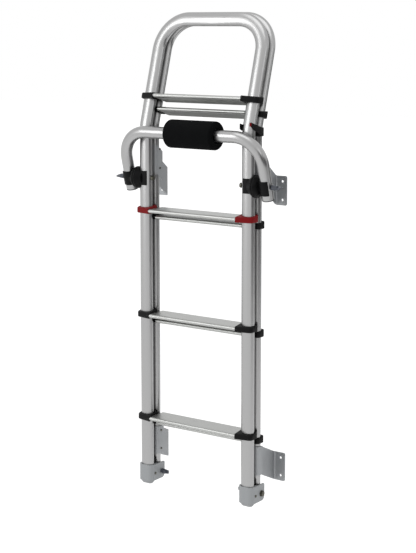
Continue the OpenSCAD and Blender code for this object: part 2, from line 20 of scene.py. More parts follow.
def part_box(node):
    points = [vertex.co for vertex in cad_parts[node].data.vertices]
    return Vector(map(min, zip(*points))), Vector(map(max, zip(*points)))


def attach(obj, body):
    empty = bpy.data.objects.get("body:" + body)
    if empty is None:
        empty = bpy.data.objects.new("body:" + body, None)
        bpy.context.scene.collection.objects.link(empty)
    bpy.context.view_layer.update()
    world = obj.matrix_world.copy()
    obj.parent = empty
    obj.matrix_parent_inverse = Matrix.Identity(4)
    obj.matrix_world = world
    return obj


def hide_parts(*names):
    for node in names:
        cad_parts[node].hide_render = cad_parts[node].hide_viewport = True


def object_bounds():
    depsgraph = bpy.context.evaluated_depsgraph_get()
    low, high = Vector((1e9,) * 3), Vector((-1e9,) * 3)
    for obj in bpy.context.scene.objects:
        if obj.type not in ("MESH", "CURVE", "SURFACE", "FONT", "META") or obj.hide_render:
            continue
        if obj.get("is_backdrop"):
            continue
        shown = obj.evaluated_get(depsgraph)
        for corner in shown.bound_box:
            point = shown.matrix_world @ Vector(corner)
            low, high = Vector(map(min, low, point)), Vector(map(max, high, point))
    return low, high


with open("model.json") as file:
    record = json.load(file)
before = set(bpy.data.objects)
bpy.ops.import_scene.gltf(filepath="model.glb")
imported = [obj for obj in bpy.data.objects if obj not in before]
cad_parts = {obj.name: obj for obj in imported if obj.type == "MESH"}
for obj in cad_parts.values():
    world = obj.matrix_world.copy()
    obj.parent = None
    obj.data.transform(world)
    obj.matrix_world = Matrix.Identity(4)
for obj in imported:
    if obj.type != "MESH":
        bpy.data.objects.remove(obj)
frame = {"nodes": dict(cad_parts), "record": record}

MM = 0.001
# Millimetres within which a vertex counts as lying on a plane.
NEAR = 0.01
LOG = logging.getLogger("ladder")

# Short names for the types that the methods pass on.
Shape = bmesh.types.BMesh
Verts = list[bmesh.types.BMVert]
Edges = list[bmesh.types.BMEdge]
Piece = bpy.types.Object
Material = bpy.types.Material
Tree = bpy.types.NodeTree
Socket = bpy.types.NodeSocket


class Side(Enum):
    """The ladder's two sides, as the factor on X."""

    RIGHT = 1.0
    LEFT = -1.0


class Body(Enum):
    """The moving bodies that pieces ride on."""

    REAR = "rear_section"
    FRONT = "front_section"
    BUMPER = "bumper_bar"

    @property
    def section(self) -> str:
        """The first word of the names of its pieces."""
        return self.value.split("_")[0]


class Level(Enum):
    """The brackets' two levels: heights of the wrap's and the flange's middle, and
    how far behind the front stile's axis the sheet starts to slope down."""

    UPPER = (851.0, 781.0, 19.0)
    LOWER = (87.0, 52.0, 35.0)


# Colours and nodes


def linear(colour: str) -> tuple[float, float, float, float]:
    """Turns an sRGB hex colour into the linear values that Blender's sockets take.

    Args:
        colour: Six hex digits after a hash.

    Returns:
        Red, green, blue and an alpha of one.
    """
    channels = [int(colour[i : i + 2], 16) / 255 for i in (1, 3, 5)]
    return (*[c / 12.92 if c <= 0.04045 else ((c + 0.055) / 1.055) ** 2.4 for c in channels], 1.0)


def add_node(
    tree: Tree,
    kind: str,
    settings: dict | None = None,
    values: dict | None = None,
    links: dict | None = None,
) -> bpy.types.Node:
    """Adds one node with its settings, socket values and incoming links.

    Args:
        tree: The node tree that gets the node.
        kind: The node's type name.
        settings: Attribute names with their values.
        values: Input sockets by name or number, with their constants.
        links: Input sockets by name or number, with the output sockets that feed them.

    Returns:
        The new node.
    """
    node = tree.nodes.new(kind)
    for name, value in (settings or {}).items():
        setattr(node, name, value)
    for socket, value in (values or {}).items():
        node.inputs[socket].default_value = value
    for socket, source in (links or {}).items():
        tree.links.new(source, node.inputs[socket])
    return node


def new_material(name: str) -> Material:
    """Returns a new material with an empty node tree.

    Args:
        name: The material's name.

    Returns:
        The new material.
    """
    material = bpy.data.materials.new(name)
    material.use_nodes = True
    material.node_tree.nodes.clear()
    return material


# Finishes


@dataclass(frozen=True)
class Finish:
    """One finish of the ladder: a shader with a fine relief and softened edges.

    Attributes:
        name: The material's name, for what it is and how it was made.
        colour: Its sRGB hex colour.
        roughness: Its roughness, from typical values.
        grain_mm: Size of the relief along X, Y and Z.
        relief_mm: Height of the relief.
        edge_mm: Radius by which edges catch the light.
        mottle: How much the roughness varies from place to place.
        mottle_mm: Size of those places.
        metallic: One for bare metal.
        specular: Strength of the shine on what isn't metal.
    """

    name: str
    colour: str
    roughness: float
    grain_mm: tuple[float, float, float] = (2.0, 2.0, 2.0)
    relief_mm: float = 0.0
    edge_mm: float = 0.5
    mottle: float = 0.04
    mottle_mm: float = 25.0
    metallic: float = 0.0
    specular: float = 0.5

    def build(self) -> Material:
        """Makes the material and returns it.

        Returns:
            The new material.
        """
        material = new_material(self.name)
        tree = material.node_tree
        place = add_node(tree, "ShaderNodeTexCoord").outputs["Object"]
        links = {"Roughness": self.patches(tree, place)}
        if self.relief_mm:
            links["Normal"] = self.relief(tree, place)
        values = {
            "Base Color": linear(self.colour),
            "Metallic": self.metallic,
            "Specular IOR Level": self.specular,
        }
        shader = add_node(tree, "ShaderNodeBsdfPrincipled", values=values, links=links)
        add_node(tree, "ShaderNodeOutputMaterial", links={"Surface": shader.outputs[0]})
        return material

    def relief(self, tree: Tree, place: Socket) -> Socket:
        """Adds the relief on softened edges.

        Args:
            tree: The material's tree.
            place: Object coordinates.

        Returns:
            The normal for the shader.
        """
        scale = [1 / (size * MM) for size in self.grain_mm]
        spread = add_node(
            tree, "ShaderNodeMapping", values={"Scale": scale}, links={"Vector": place}
        )
        grain = add_node(
            tree,
            "ShaderNodeTexNoise",
            values={"Scale": 1.0, "Detail": 2.0, "Roughness": 0.5},
            links={"Vector": spread.outputs[0]},
        )
        edge = add_node(
            tree, "ShaderNodeBevel", {"samples": 8}, values={"Radius": self.edge_mm * MM}
        )
        bump = add_node(
            tree,
            "ShaderNodeBump",
            values={"Strength": 1.0, "Distance": self.relief_mm * MM},
            links={"Height": grain.outputs[0], "Normal": edge.outputs[0]},
        )
        return bump.outputs[0]

    def patches(self, tree: Tree, place: Socket) -> Socket:
        """Adds the slight change of roughness from place to place.

        Args:
            tree: The material's tree.
            place: Object coordinates.

        Returns:
            The roughness for the shader.
        """
        cloud = add_node(
            tree,
            "ShaderNodeTexNoise",
            values={"Scale": 1 / (self.mottle_mm * MM), "Detail": 2.0},
            links={"Vector": place},
        )
        spread = add_node(
            tree,
            "ShaderNodeMapRange",
            values={
                "From Min": 0.3,
                "From Max": 0.7,
                "To Min": self.roughness - self.mottle,
                "To Max": self.roughness + self.mottle,
            },
            links={"Value": cloud.outputs[0]},
        )
        return spread.outputs[0]


# Extruded aluminium tube, satin anodised: a smooth metallic sheen in long bands. The
# die's lines are 0.2 mm apart, too fine to be seen, so it has no relief.
TUBE = Finish("satin_anodised_tube", "#A6A6A6", 0.3, mottle=0.01, mottle_mm=60.0, metallic=1.0)
# Extruded aluminium tread, anodised matt: paler, with lines along the rung. They are
# 0.3 mm apart in fact and are drawn 3 mm apart.
RUNG = Finish(
    "matt_anodised_tread",
    "#ABACAA",
    0.38,
    grain_mm=(250.0, 3.0, 3.0),
    relief_mm=0.002,
    edge_mm=0.4,
    mottle=0.01,
    mottle_mm=40.0,
    metallic=1.0,
)
# Aluminium sheet, brushed and bent: flat grey with a fine upright brush, drawn coarser.
BRACKET = Finish(
    "brushed_aluminium_sheet",
    "#A9ABAD",
    0.6,
    grain_mm=(3.0, 3.0, 80.0),
    relief_mm=0.006,
    edge_mm=0.6,
    mottle_mm=30.0,
    metallic=1.0,
)
# Die-cast aluminium, painted light grey: smooth with a faint skin and round edges.
BLOCK = Finish(
    "painted_die_casting", "#A0A3A5", 0.5, (2.5,) * 3, relief_mm=0.012, edge_mm=1.4, mottle=0.03
)
# Zinc-plated turned steel: a duller, slightly yellow metal.
STEEL = Finish(
    "zinc_plated_steel",
    "#58574F",
    0.38,
    relief_mm=0.004,
    edge_mm=0.4,
    mottle=0.05,
    mottle_mm=12.0,
    metallic=1.0,
)
# Glass-filled polyamide, moulded: deep black with a dull shine and an eroded grain.
# The grain is 0.3 mm in fact and is drawn at 1.5 mm so that it shows.
BLACK = Finish(
    "moulded_black_polyamide", "#0B0B0C", 0.5, (1.5,) * 3, relief_mm=0.02, edge_mm=0.8, specular=0.12
)
# The same polyamide coloured dark red: a plain warm plastic.
RED = replace(BLACK, name="moulded_red_polyamide", colour="#7A0F13")
# Polyethylene foot plug, moulded: pale, waxy and soft-edged.
PLUG = Finish("moulded_grey_polyethylene", "#AEB0B2", 0.5, relief_mm=0.015, edge_mm=0.8)
# Polyethylene tube plug, moulded: dark grey and waxy.
DARK = replace(PLUG, name="moulded_dark_polyethylene", colour="#343436")
# Polyamide wing knob, moulded slate grey: a satin plastic.
KNOB = Finish("moulded_slate_polyamide", "#42464F", 0.42, (1.5,) * 3, relief_mm=0.015, edge_mm=0.6)
# Closed-cell foam, skinned when moulded: nearly black and matt.
# The cells are 0.5 mm in fact and are drawn at 2.5 mm so that they show.
FOAM = Finish(
    "closed_cell_foam",
    "#090A0B",
    0.9,
    grain_mm=(2.5,) * 3,
    relief_mm=0.5,
    edge_mm=1.0,
    mottle=0.03,
    mottle_mm=20.0,
    specular=0.08,
)

SLOT_FINISHES = {
    "tube": TUBE,
    "rung": RUNG,
    "bracket": BRACKET,
    "block": BLOCK,
    "steel": STEEL,
    "black_plastic": BLACK,
    "red_plastic": RED,
    "grey_plastic": PLUG,
    "dark_plastic": DARK,
    "knob": KNOB,
    "foam": FOAM,
}


# Bench: where pieces are finished and placed


@dataclass
class Bench:
    """Keeps the materials and the place of the ladder, and finishes each piece.

    Attributes:
        tube_depth: Depth of the stiles' tube, in millimetres.
        materials: The material of each slot.
    """

    tube_depth: float = 22.0
    materials: dict[str, Material] = field(default_factory=dict)

    def __post_init__(self) -> None:
        """Makes the materials and finds the ladder's own origin in the frame."""
        self.materials = {slot: finish.build() for slot, finish in SLOT_FINISHES.items()}
        low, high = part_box("front_frame")
        bolt_low, bolt_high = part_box("pivot_bolts")
        self.origin = Vector(
            ((low.x + high.x) / 2, low.y + self.tube_depth / 2 * MM, (bolt_low.z + bolt_high.z) / 2)
        )

    def box(self, node: str) -> tuple[Vector, Vector]:
        """Returns a node's corners in the ladder's own millimetres."""
        low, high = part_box(node)
        return (low - self.origin) / MM, (high - self.origin) / MM

    def dress_nodes(self) -> None:
        """Gives every node of the frame the finish of its slot."""
        for part in frame["record"]["subparts"]:
            mesh = frame["nodes"][part["node"]].data
            mesh.materials.clear()
            mesh.materials.append(self.materials[part["material_slot"]])

    def deliver(
        self,
        shape: Shape,
        name: str,
        slot: str,
        body: Body,
        replaces: tuple[str, ...] = (),
        sharp: float = 35.0,
    ) -> Piece:
        """Turns a finished shape into a placed, dressed piece that rides on its body.

        Args:
            shape: The shape in the ladder's millimetres. It is used up.
            name: The piece's name.
            slot: The material slot that gives its finish.
            body: The body that carries it.
            replaces: The frame's nodes that it stands for.
            sharp: Angle in degrees from which an edge stays sharp.

        Returns:
            The new object.
        """
        bmesh.ops.remove_doubles(shape, verts=shape.verts, dist=0.001)
        bmesh.ops.recalc_face_normals(shape, faces=shape.faces)
        place = Matrix.Translation(self.origin) @ Matrix.Scale(MM, 4)
        bmesh.ops.transform(shape, matrix=place, verts=shape.verts)
        mesh = bpy.data.meshes.new(name)
        shape.to_mesh(mesh)
        shape.free()
        mesh.shade_smooth()
        mesh.set_sharp_from_angle(angle=math.radians(sharp))
        mesh.materials.append(self.materials[slot])
        piece = bpy.data.objects.new(name, mesh)
        bpy.context.scene.collection.objects.link(piece)
        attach(piece, body.value)
        if replaces:
            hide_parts(*replaces)
        LOG.info("%s: %d faces on %s", name, len(mesh.polygons), body.value)
        return piece


# Shapes


def rod(
    shape: Shape,
    radius: float,
    start: float,
    end: float,
    segments: int = 48,
    end_radius: float | None = None,
) -> Verts:
    """Adds a closed rod or cone along X.

    Args:
        shape: The shape that gets it.
        radius: Its radius at the start.
        start: Its first X.
        end: Its last X.
        segments: How many sides it has.
        end_radius: Its radius at the end, if that differs.

    Returns:
        Its vertices.
    """
    place = Matrix.Translation(((start + end) / 2, 0, 0)) @ Matrix.Rotation(math.pi / 2, 4, "Y")
    made = bmesh.ops.create_cone(
        shape,
        cap_ends=True,
        segments=segments,
        radius1=radius,
        radius2=radius if end_radius is None else end_radius,
        depth=end - start,
        matrix=place,
    )
    return made["verts"]


def round_edges(
    shape: Shape,
    geom: list,
    radius: float,
    segments: int = 4,
    affect: str = "EDGES",
) -> None:
    """Rounds edges, or the corners of a sheet, by a radius in so many segments.

    Args:
        shape: The shape that holds them.
        geom: The edges, or the corner vertices.
        radius: The radius in millimetres.
        segments: How many segments make the curve.
        affect: EDGES or VERTICES, for what is rounded.
    """
    bmesh.ops.bevel(
        shape,
        geom=geom,
        offset=radius,
        offset_type="OFFSET",
        segments=segments,
        profile=0.5,
        affect=affect,
        clamp_overlap=affect == "EDGES",
        material=-1,
    )


def block(shape: Shape, low: tuple, high: tuple) -> Verts:
    """Adds a block from its lowest to its highest corner and returns its vertices.

    Args:
        shape: The shape that gets it.
        low: Its lowest corner.
        high: Its highest corner.

    Returns:
        Its vertices.
    """
    made = bmesh.ops.create_cube(shape, size=1.0)["verts"]
    size = Vector(high) - Vector(low)
    matrix = Matrix.Translation(Vector(low) + size / 2) @ Matrix.Diagonal((*size, 1))
    bmesh.ops.transform(shape, matrix=matrix, verts=made)
    return made


def everything(shape: Shape) -> list:
    """Returns all vertices, edges and faces of a shape."""
    return shape.verts[:] + shape.edges[:] + shape.faces[:]


def edges_among(shape: Shape, verts: set) -> Edges:
    """Returns the edges of a shape whose ends are both among some vertices."""
    return [e for e in shape.edges if verts.issuperset(e.verts)]


def rims(shape: Shape, verts: list, *places: float) -> Edges:
    """Returns the edges among some vertices that lie in the planes at some X."""
    there = {v for v in verts if any(abs(v.co.x - x) < NEAR for x in places)}
    return [e for e in edges_among(shape, there) if abs(e.verts[0].co.x - e.verts[1].co.x) < NEAR]


def upright(shape: Shape, x: float, y: float) -> Edges:
    """Returns the upright edges at X and Y."""
    there = {v for v in shape.verts if abs(v.co.x - x) < NEAR and abs(v.co.y - y) < NEAR}
    return edges_among(shape, there)


def grown_verts(grown: dict) -> Verts:
    """Returns the vertices among what an extrusion has made."""
    return [g for g in grown["geom"] if isinstance(g, bmesh.types.BMVert)]


def cut_at(shape: Shape, point: Vector, normal: Vector) -> None:
    """Cuts all faces along a plane and keeps both sides.

    Args:
        shape: The shape.
        point: A point on the plane.
        normal: The plane's direction.
    """
    bmesh.ops.bisect_plane(
        shape, geom=everything(shape), dist=0.0001, plane_co=point, plane_no=normal
    )


def cut_away(shape: Shape, point: Vector, normal: Vector) -> None:
    """Cuts off what lies on the normal's side of a plane and closes the cut.

    Args:
        shape: The shape.
        point: A point on the plane.
        normal: The direction of what is cut off.
    """
    bmesh.ops.bisect_plane(
        shape,
        geom=everything(shape),
        dist=0.0001,
        plane_co=point,
        plane_no=normal,
        clear_outer=True,
    )
    bmesh.ops.holes_fill(shape, edges=shape.edges, sides=0)


def mirror_over(shape: Shape) -> None:
    """Mirrors a shape across the ladder's middle and keeps both halves."""
    bmesh.ops.mirror(shape, geom=everything(shape), merge_dist=0.0001, axis="X")


def add_to(shape: Shape, part: Shape) -> None:
    """Joins a finished part to a shape. The part is used up.

    Args:
        shape: The shape that grows.
        part: What is joined to it.
    """
    mesh = bpy.data.meshes.new("part")
    part.to_mesh(mesh)
    part.free()
    shape.from_mesh(mesh)
    bpy.data.meshes.remove(mesh)


def mirrored(side: Side, at: Vector) -> Matrix:
    """Returns the matrix that carries a shape made on +X to its place on a side."""
    return Matrix.Scale(side.value, 4, (1, 0, 0)) @ Matrix.Translation(at)


def on_both_sides(
    shape: Shape, add: Callable[[], None], at: Vector, turn: Matrix | None = None
) -> None:
    """Adds what a function makes on the right and on the left.

    Args:
        shape: The shape that gets both.
        add: Adds one, at the origin and as on the right.
        at: Its place on the right.
        turn: Its turn before it is placed.
    """
    for side in Side:
        before = set(shape.verts)
        add()
        new = [v for v in shape.verts if v not in before]
        matrix = mirrored(side, at) @ (turn or Matrix())
        bmesh.ops.transform(shape, matrix=matrix, verts=new)


# Layout


@dataclass(frozen=True)
class Layout:
    """The ladder's main measures, in its own millimetres, as in the frame's source.

    Attributes:
        half_span: Distance from the middle to a stile's axis.
        half_width: Half the stile's width along X.
        half_depth: Half its depth along Y.
        gap: Distance from the front section to the rear one.
        bend_z: Height where the stiles start to bend back.
        bend_r: Radius of that bend.
        lean: Sine of the angle by which the tops lean back.
        arch: Length of the leaning stiles up to the arch's top.
        corner_r: Radius of the arch's corners.
        clamp_z: Height of the spacer's clamps.
        disc_x: Where their discs start.
        disc_r: Radius of the discs.
        leg_x: Distance from the middle to the axis of a spacer leg.
        leg_r: Radius of the spacer's tube.
        leg_lean: Angle by which it leans forward, in degrees.
        rungs: Number of treads in a section.
        front_rungs: Height of the front section's lowest tread, the step to the
            next, and how much further the top one is.
        rear_rungs: The same for the rear section.
        sheet: Thickness of the brackets' sheet.
    """

    half_span: float = 161.5
    half_width: float = 18.5
    half_depth: float = 11.0
    gap: float = 30.0
    bend_z: float = 925.0
    bend_r: float = 100.0
    lean: float = 0.28
    arch: float = 274.0
    corner_r: float = 82.0
    clamp_z: float = 802.0
    disc_x: float = 181.0
    disc_r: float = 29.0
    leg_x: float = 214.5
    leg_r: float = 15.5
    leg_lean: float = 15.0
    rungs: int = 4
    front_rungs: tuple[float, float, float] = (162.0, 280.0, 20.0)
    rear_rungs: tuple[float, float, float] = (144.5, 279.0, 2.5)
    sheet: float = 2.5

    @property
    def angle(self) -> float:
        """The angle by which the tops lean back, in radians."""
        return math.asin(self.lean)

    def back(self, body: Body) -> float:
        """Returns how far behind the front stiles' axes a section lies."""
        return 0.0 if body is Body.FRONT else self.gap

    def tread(self, body: Body, number: int) -> Matrix:
        """Returns the place of a tread, counted from the top, on its section.

        Args:
            body: The section.
            number: The tread's number.

        Returns:
            The matrix that carries a tread made at the stiles' axes to its place.
        """
        low, step, extra = self.front_rungs if body is Body.FRONT else self.rear_rungs
        height = low + (self.rungs - number) * step + (extra if number == 1 else 0.0)
        if height <= self.bend_z:
            return Matrix.Translation((0, self.back(body), height))
        foot = (self.bend_r * (1 - math.cos(self.angle)), self.bend_z + self.bend_r * self.lean)
        far = height - self.bend_z - self.bend_r * self.angle
        back = self.back(body) + foot[0] + far * self.lean
        at = (0, back, foot[1] + far * math.cos(self.angle))
        return Matrix.Translation(at) @ Matrix.Rotation(-self.angle, 4, "X")


LAYOUT = Layout()


# Sub-assemblies


@dataclass
class SubAssembly:
    """What every sub-assembly shares.

    Attributes:
        bench: The bench that finishes and places its pieces.
    """

    bench: Bench


@dataclass
class Sweep:
    """A tube that grows from one closed section by straight runs and bends.

    Attributes:
        shape: The shape that it grows in.
        ring: The edges of its latest section.
    """

    shape: Shape
    ring: Edges = field(default_factory=list)

    def start(self, half: tuple[float, float], power: float, at: Vector, segments: int = 72) -> None:
        """Starts with a level, rounded section.

        Args:
            half: Half its width along X and half its depth along Y.
            power: Two for an ellipse, more for a fuller oval.
            at: Its centre.
            segments: How many sides it has.
        """
        made = bmesh.ops.create_circle(self.shape, segments=segments, radius=1.0)["verts"]
        for vert in made:
            for axis, size in enumerate(half):
                share = vert.co[axis]
                vert.co[axis] = math.copysign(abs(share) ** (2 / power), share) * size
        bmesh.ops.translate(self.shape, vec=at, verts=made)
        self.ring = list({e for v in made for e in v.link_edges})

    def run(self, along: Vector) -> None:
        """Grows a straight run.

        Args:
            along: The way and length of the run.
        """
        grown = bmesh.ops.extrude_edge_only(self.shape, edges=self.ring)
        top = grown_verts(grown)
        bmesh.ops.translate(self.shape, vec=along, verts=top)
        self.ring = edges_among(self.shape, set(top))

    def stand(self, height: float, soft: float, segments: int = 4) -> None:
        """Grows a block from the section, closed and with softened rims.

        Args:
            height: How tall it is.
            soft: Radius of its rims.
            segments: How many segments round them.
        """
        low = self.ring
        self.run(Vector((0, 0, height)))
        bmesh.ops.holes_fill(self.shape, edges=self.shape.edges, sides=0)
        round_edges(self.shape, low + self.ring, soft, segments)

    def bend(self, centre: Vector, axis: Vector, angle: float, steps: int = 32) -> None:
        """Grows a bend round an axis through a centre.

        Args:
            centre: A point on the axis.
            axis: The axis' direction.
            angle: How far it turns, in radians.
            steps: How many pieces make the curve.
        """
        verts = list({v for e in self.ring for v in e.verts})
        grown = bmesh.ops.spin(
            self.shape,
            geom=verts + self.ring,
            cent=centre,
            axis=axis,
            angle=angle,
            steps=steps,
            use_merge=False,
        )["geom_last"]
        self.ring = [g for g in grown if isinstance(g, bmesh.types.BMEdge)]

    def mirror_closed(self) -> None:
        """Mirrors the half tube across the middle and closes its lower ends."""
        bmesh.ops.mirror(self.shape, geom=everything(self.shape), merge_dist=0.001, axis="X")
        bmesh.ops.remove_doubles(self.shape, verts=self.shape.verts, dist=0.001)
        bmesh.ops.holes_fill(self.shape, edges=self.shape.edges, sides=0)


@dataclass
class BentFrame(SubAssembly):
    """A section's frame: oval tube up one side, over the arch and down the other.

    Attributes:
        body: The section.
        foot: Height of its lower ends.
        fullness: Power of the oval, so that its wide faces are slightly crowned.
    """

    body: Body
    foot: float
    fullness: float = 2.2

    def build(self) -> Piece:
        """Grows the tube in one sweep and mirrors it.

        Returns:
            The new piece.
        """
        lay = LAYOUT
        back = lay.back(self.body)
        up = Vector((0, lay.lean, math.cos(lay.angle)))
        shape = bmesh.new()
        tube = Sweep(shape)
        size = (lay.half_width, lay.half_depth)
        tube.start(size, self.fullness, Vector((lay.half_span, back, self.foot)))
        tube.run(Vector((0, 0, lay.bend_z - self.foot)))
        pivot = Vector((0, back + lay.bend_r, lay.bend_z))
        tube.bend(pivot, Vector((1, 0, 0)), -lay.angle, steps=16)
        tube.run(up * (lay.arch - lay.corner_r))
        start = pivot + Vector((0, -lay.bend_r * up.z, lay.bend_r * up.y))
        corner = start + up * (lay.arch - lay.corner_r)
        corner.x = lay.half_span - lay.corner_r
        tube.bend(corner, Vector((0, -up.z, up.y)), math.pi / 2)
        tube.run(Vector((lay.corner_r - lay.half_span, 0, 0)))
        tube.mirror_closed()
        node = f"{self.body.section}_frame"
        name = f"{self.body.value}_bent_tube"
        return self.bench.deliver(shape, name, "tube", self.body, (node,), sharp=50)


@dataclass
class SpacerTube(SubAssembly):
    """The spacer bar: a U of round tube that leans forward from its clamps.

    Attributes:
        rise: Height of its run over the clamps.
        tail: Length of its legs below the clamps.
        corner_r: Radius of its corners.
    """

    rise: float = 128.0
    tail: float = 32.0
    corner_r: float = 75.0

    def build(self) -> Piece:
        """Grows half of the bar, mirrors it and leans it.

        Returns:
            The new piece.
        """
        lay = LAYOUT
        shape = bmesh.new()
        tube = Sweep(shape)
        tube.start((lay.leg_r, lay.leg_r), 2.0, Vector((lay.leg_x, 0, -self.tail)), 64)
        tube.run(Vector((0, 0, self.rise - self.corner_r + self.tail)))
        corner = Vector((lay.leg_x - self.corner_r, 0, self.rise - self.corner_r))
        tube.bend(corner, Vector((0, -1, 0)), math.pi / 2)
        tube.run(Vector((self.corner_r - lay.leg_x, 0, 0)))
        tube.mirror_closed()
        place = Matrix.Translation((0, 0, lay.clamp_z)) @ Matrix.Rotation(
            math.radians(lay.leg_lean), 4, "X"
        )
        bmesh.ops.transform(shape, matrix=place, verts=shape.verts)
        return self.bench.deliver(
            shape, "spacer_bent_tube", "tube", Body.BUMPER, ("bumper_tube",), sharp=50
        )


@dataclass
class Tread(SubAssembly):
    """One extruded tread with a round nose and fine grip ribs on its walking face.

    Attributes:
        body: The section.
        number: Its number, counted from the top.
        front: Distance from the stiles' axes to its nose.
        depth: Its depth.
        height: Its height.
        heel: Radius of its rear edges.
        reach: Half its length beside the other section's stiles.
        tongue: How much longer it is where those stiles leave room.
        notch: Distance from the stiles' axes to where that room ends.
        ribs: Number of grooves.
        land: Share of the pitch on each side of a groove.
        draft: How far a groove's flanks slope in.
        groove: Depth of the grooves.
    """

    body: Body
    number: int
    front: float = 25.0
    depth: float = 65.0
    height: float = 10.0
    heel: float = 3.5
    reach: float = 137.0
    tongue: float = 5.0
    notch: float = 12.0
    ribs: int = 11
    land: float = 0.3
    draft: float = 0.05
    groove: float = 0.25

    def build(self) -> Piece:
        """Makes the tread in its own frame and carries it to its place.

        Returns:
            The new piece.
        """
        shape = bmesh.new()
        low = (-self.reach, -self.front, -self.height)
        block(shape, low, (self.reach, self.depth - self.front, 0))
        long_edges = [e for e in shape.edges if abs(e.verts[0].co.x - e.verts[1].co.x) > 1]
        nose = [e for e in long_edges if e.verts[0].co.y < 0]
        heel = [e for e in long_edges if e.verts[0].co.y > 0]
        round_edges(shape, nose, self.height / 2 - NEAR, 10)
        round_edges(shape, heel, self.heel, 5)
        self.cut_grooves(shape)
        self.grow_tongues(shape)
        place = LAYOUT.tread(self.body, self.number)
        if self.body is Body.FRONT:
            flip = Matrix.Scale(-1, 4, (0, 0, 1))
            place = place @ Matrix.Translation((0, 0, -self.height)) @ flip
        bmesh.ops.transform(shape, matrix=place, verts=shape.verts)
        section = self.body.section
        name = f"{section}_tread_{self.number}"
        node = f"{section}_rung_{self.number}"
        return self.bench.deliver(shape, name, "rung", self.body, (node,), sharp=35)

    def cut_grooves(self, shape: Shape) -> None:
        """Sinks the grooves between the grip ribs into the walking face.

        Args:
            shape: The tread, still in its own frame.
        """
        start = self.height - self.front
        pitch = (self.depth - self.height - 2 * self.heel) / self.ribs
        for i in range(self.ribs):
            for edge in (self.land, 1 - self.land):
                cut_at(shape, Vector((0, start + (i + edge) * pitch, 0)), Vector((0, 1, 0)))
        for i in range(self.ribs):
            y = start + (i + 0.5) * pitch
            floor = [
                f
                for f in shape.faces
                if f.normal.z > 0.99 and abs(f.calc_center_median().y - y) < pitch * self.land / 2
            ]
            bmesh.ops.inset_region(shape, faces=floor, thickness=self.draft)
            verts = list({v for f in floor for v in f.verts})
            bmesh.ops.translate(shape, vec=(0, 0, -self.groove), verts=verts)

    def grow_tongues(self, shape: Shape) -> None:
        """Lengthens the ends where the other section's stiles leave room.

        Args:
            shape: The tread, still in its own frame.
        """
        toward = 1 if self.body is Body.FRONT else -1
        cut_at(shape, Vector((0, toward * self.notch, 0)), Vector((0, 1, 0)))
        for side in Side:
            ends = [
                f
                for f in shape.faces
                if f.normal.x * side.value > 0.99
                and toward * f.calc_center_median().y < self.notch
                and abs(f.calc_center_median().x) > self.reach - 0.1
            ]
            verts = grown_verts(bmesh.ops.extrude_face_region(shape, geom=ends))
            bmesh.ops.translate(shape, vec=(side.value * self.tongue, 0, 0), verts=verts)
            bmesh.ops.delete(shape, geom=ends, context="FACES_ONLY")


@dataclass
class CapPair(SubAssembly):
    """The moulded caps of one tread: a rounded slab that the stile passes through.

    Attributes:
        body: The section.
        number: The tread's number, counted from the top.
        front: Distance from the stile's axis to its front on the tread.
        nose: Distance from the stile's axis to its front at the outer end.
        above: How far it stands over the tread's top in front.
        inner: Where the slab starts on the tread.
        wall: How far it stands out beside and behind the stile.
        below: How far it reaches under the tread's top.
        rise: How much higher its top is behind.
        soft: Radius of its upper and lower edges.
        corners: Radii of its outer corners, in front and behind.
    """

    body: Body
    number: int
    front: float
    nose: float
    above: float
    inner: float = 137.6
    wall: float = 3.2
    below: float = 12.4
    rise: float = 6.0
    soft: float = 2.6
    corners: tuple[float, float] = (9.0, 5.0)

    def build(self) -> Piece:
        """Makes both caps as one piece.

        Returns:
            The new piece.
        """
        lay = LAYOUT
        shape = bmesh.new()
        outer = lay.half_span + lay.half_width + self.wall
        back = lay.half_depth + self.wall
        low = (self.inner, -self.front, -self.below)
        for vert in block(shape, low, (outer, back, self.above)):
            if vert.co.z > 0 and vert.co.y > 0:
                vert.co.z += self.rise
            if vert.co.x > self.inner + 1 and vert.co.y < 0:
                vert.co.y = -self.nose
        for y, radius in zip((-self.nose, back), self.corners):
            round_edges(shape, upright(shape, outer, y), radius, 10)
        lips = [e for e in shape.edges if abs((e.verts[0].co - e.verts[1].co).normalized().z) < 0.9]
        lips = [e for e in lips if any(v.co.x > self.inner + NEAR for v in e.verts)]
        round_edges(shape, lips, self.soft)
        mirror_over(shape)
        place = lay.tread(self.body, self.number)
        bmesh.ops.transform(shape, matrix=place, verts=shape.verts)
        section = self.body.section
        red = self.body is Body.FRONT and self.number == 2
        slot = "red_plastic" if red else "black_plastic"
        name = f"{section}_moulded_caps_{self.number}"
        node = f"{section}_caps_{self.number}"
        return self.bench.deliver(shape, name, slot, self.body, (node,), sharp=40)


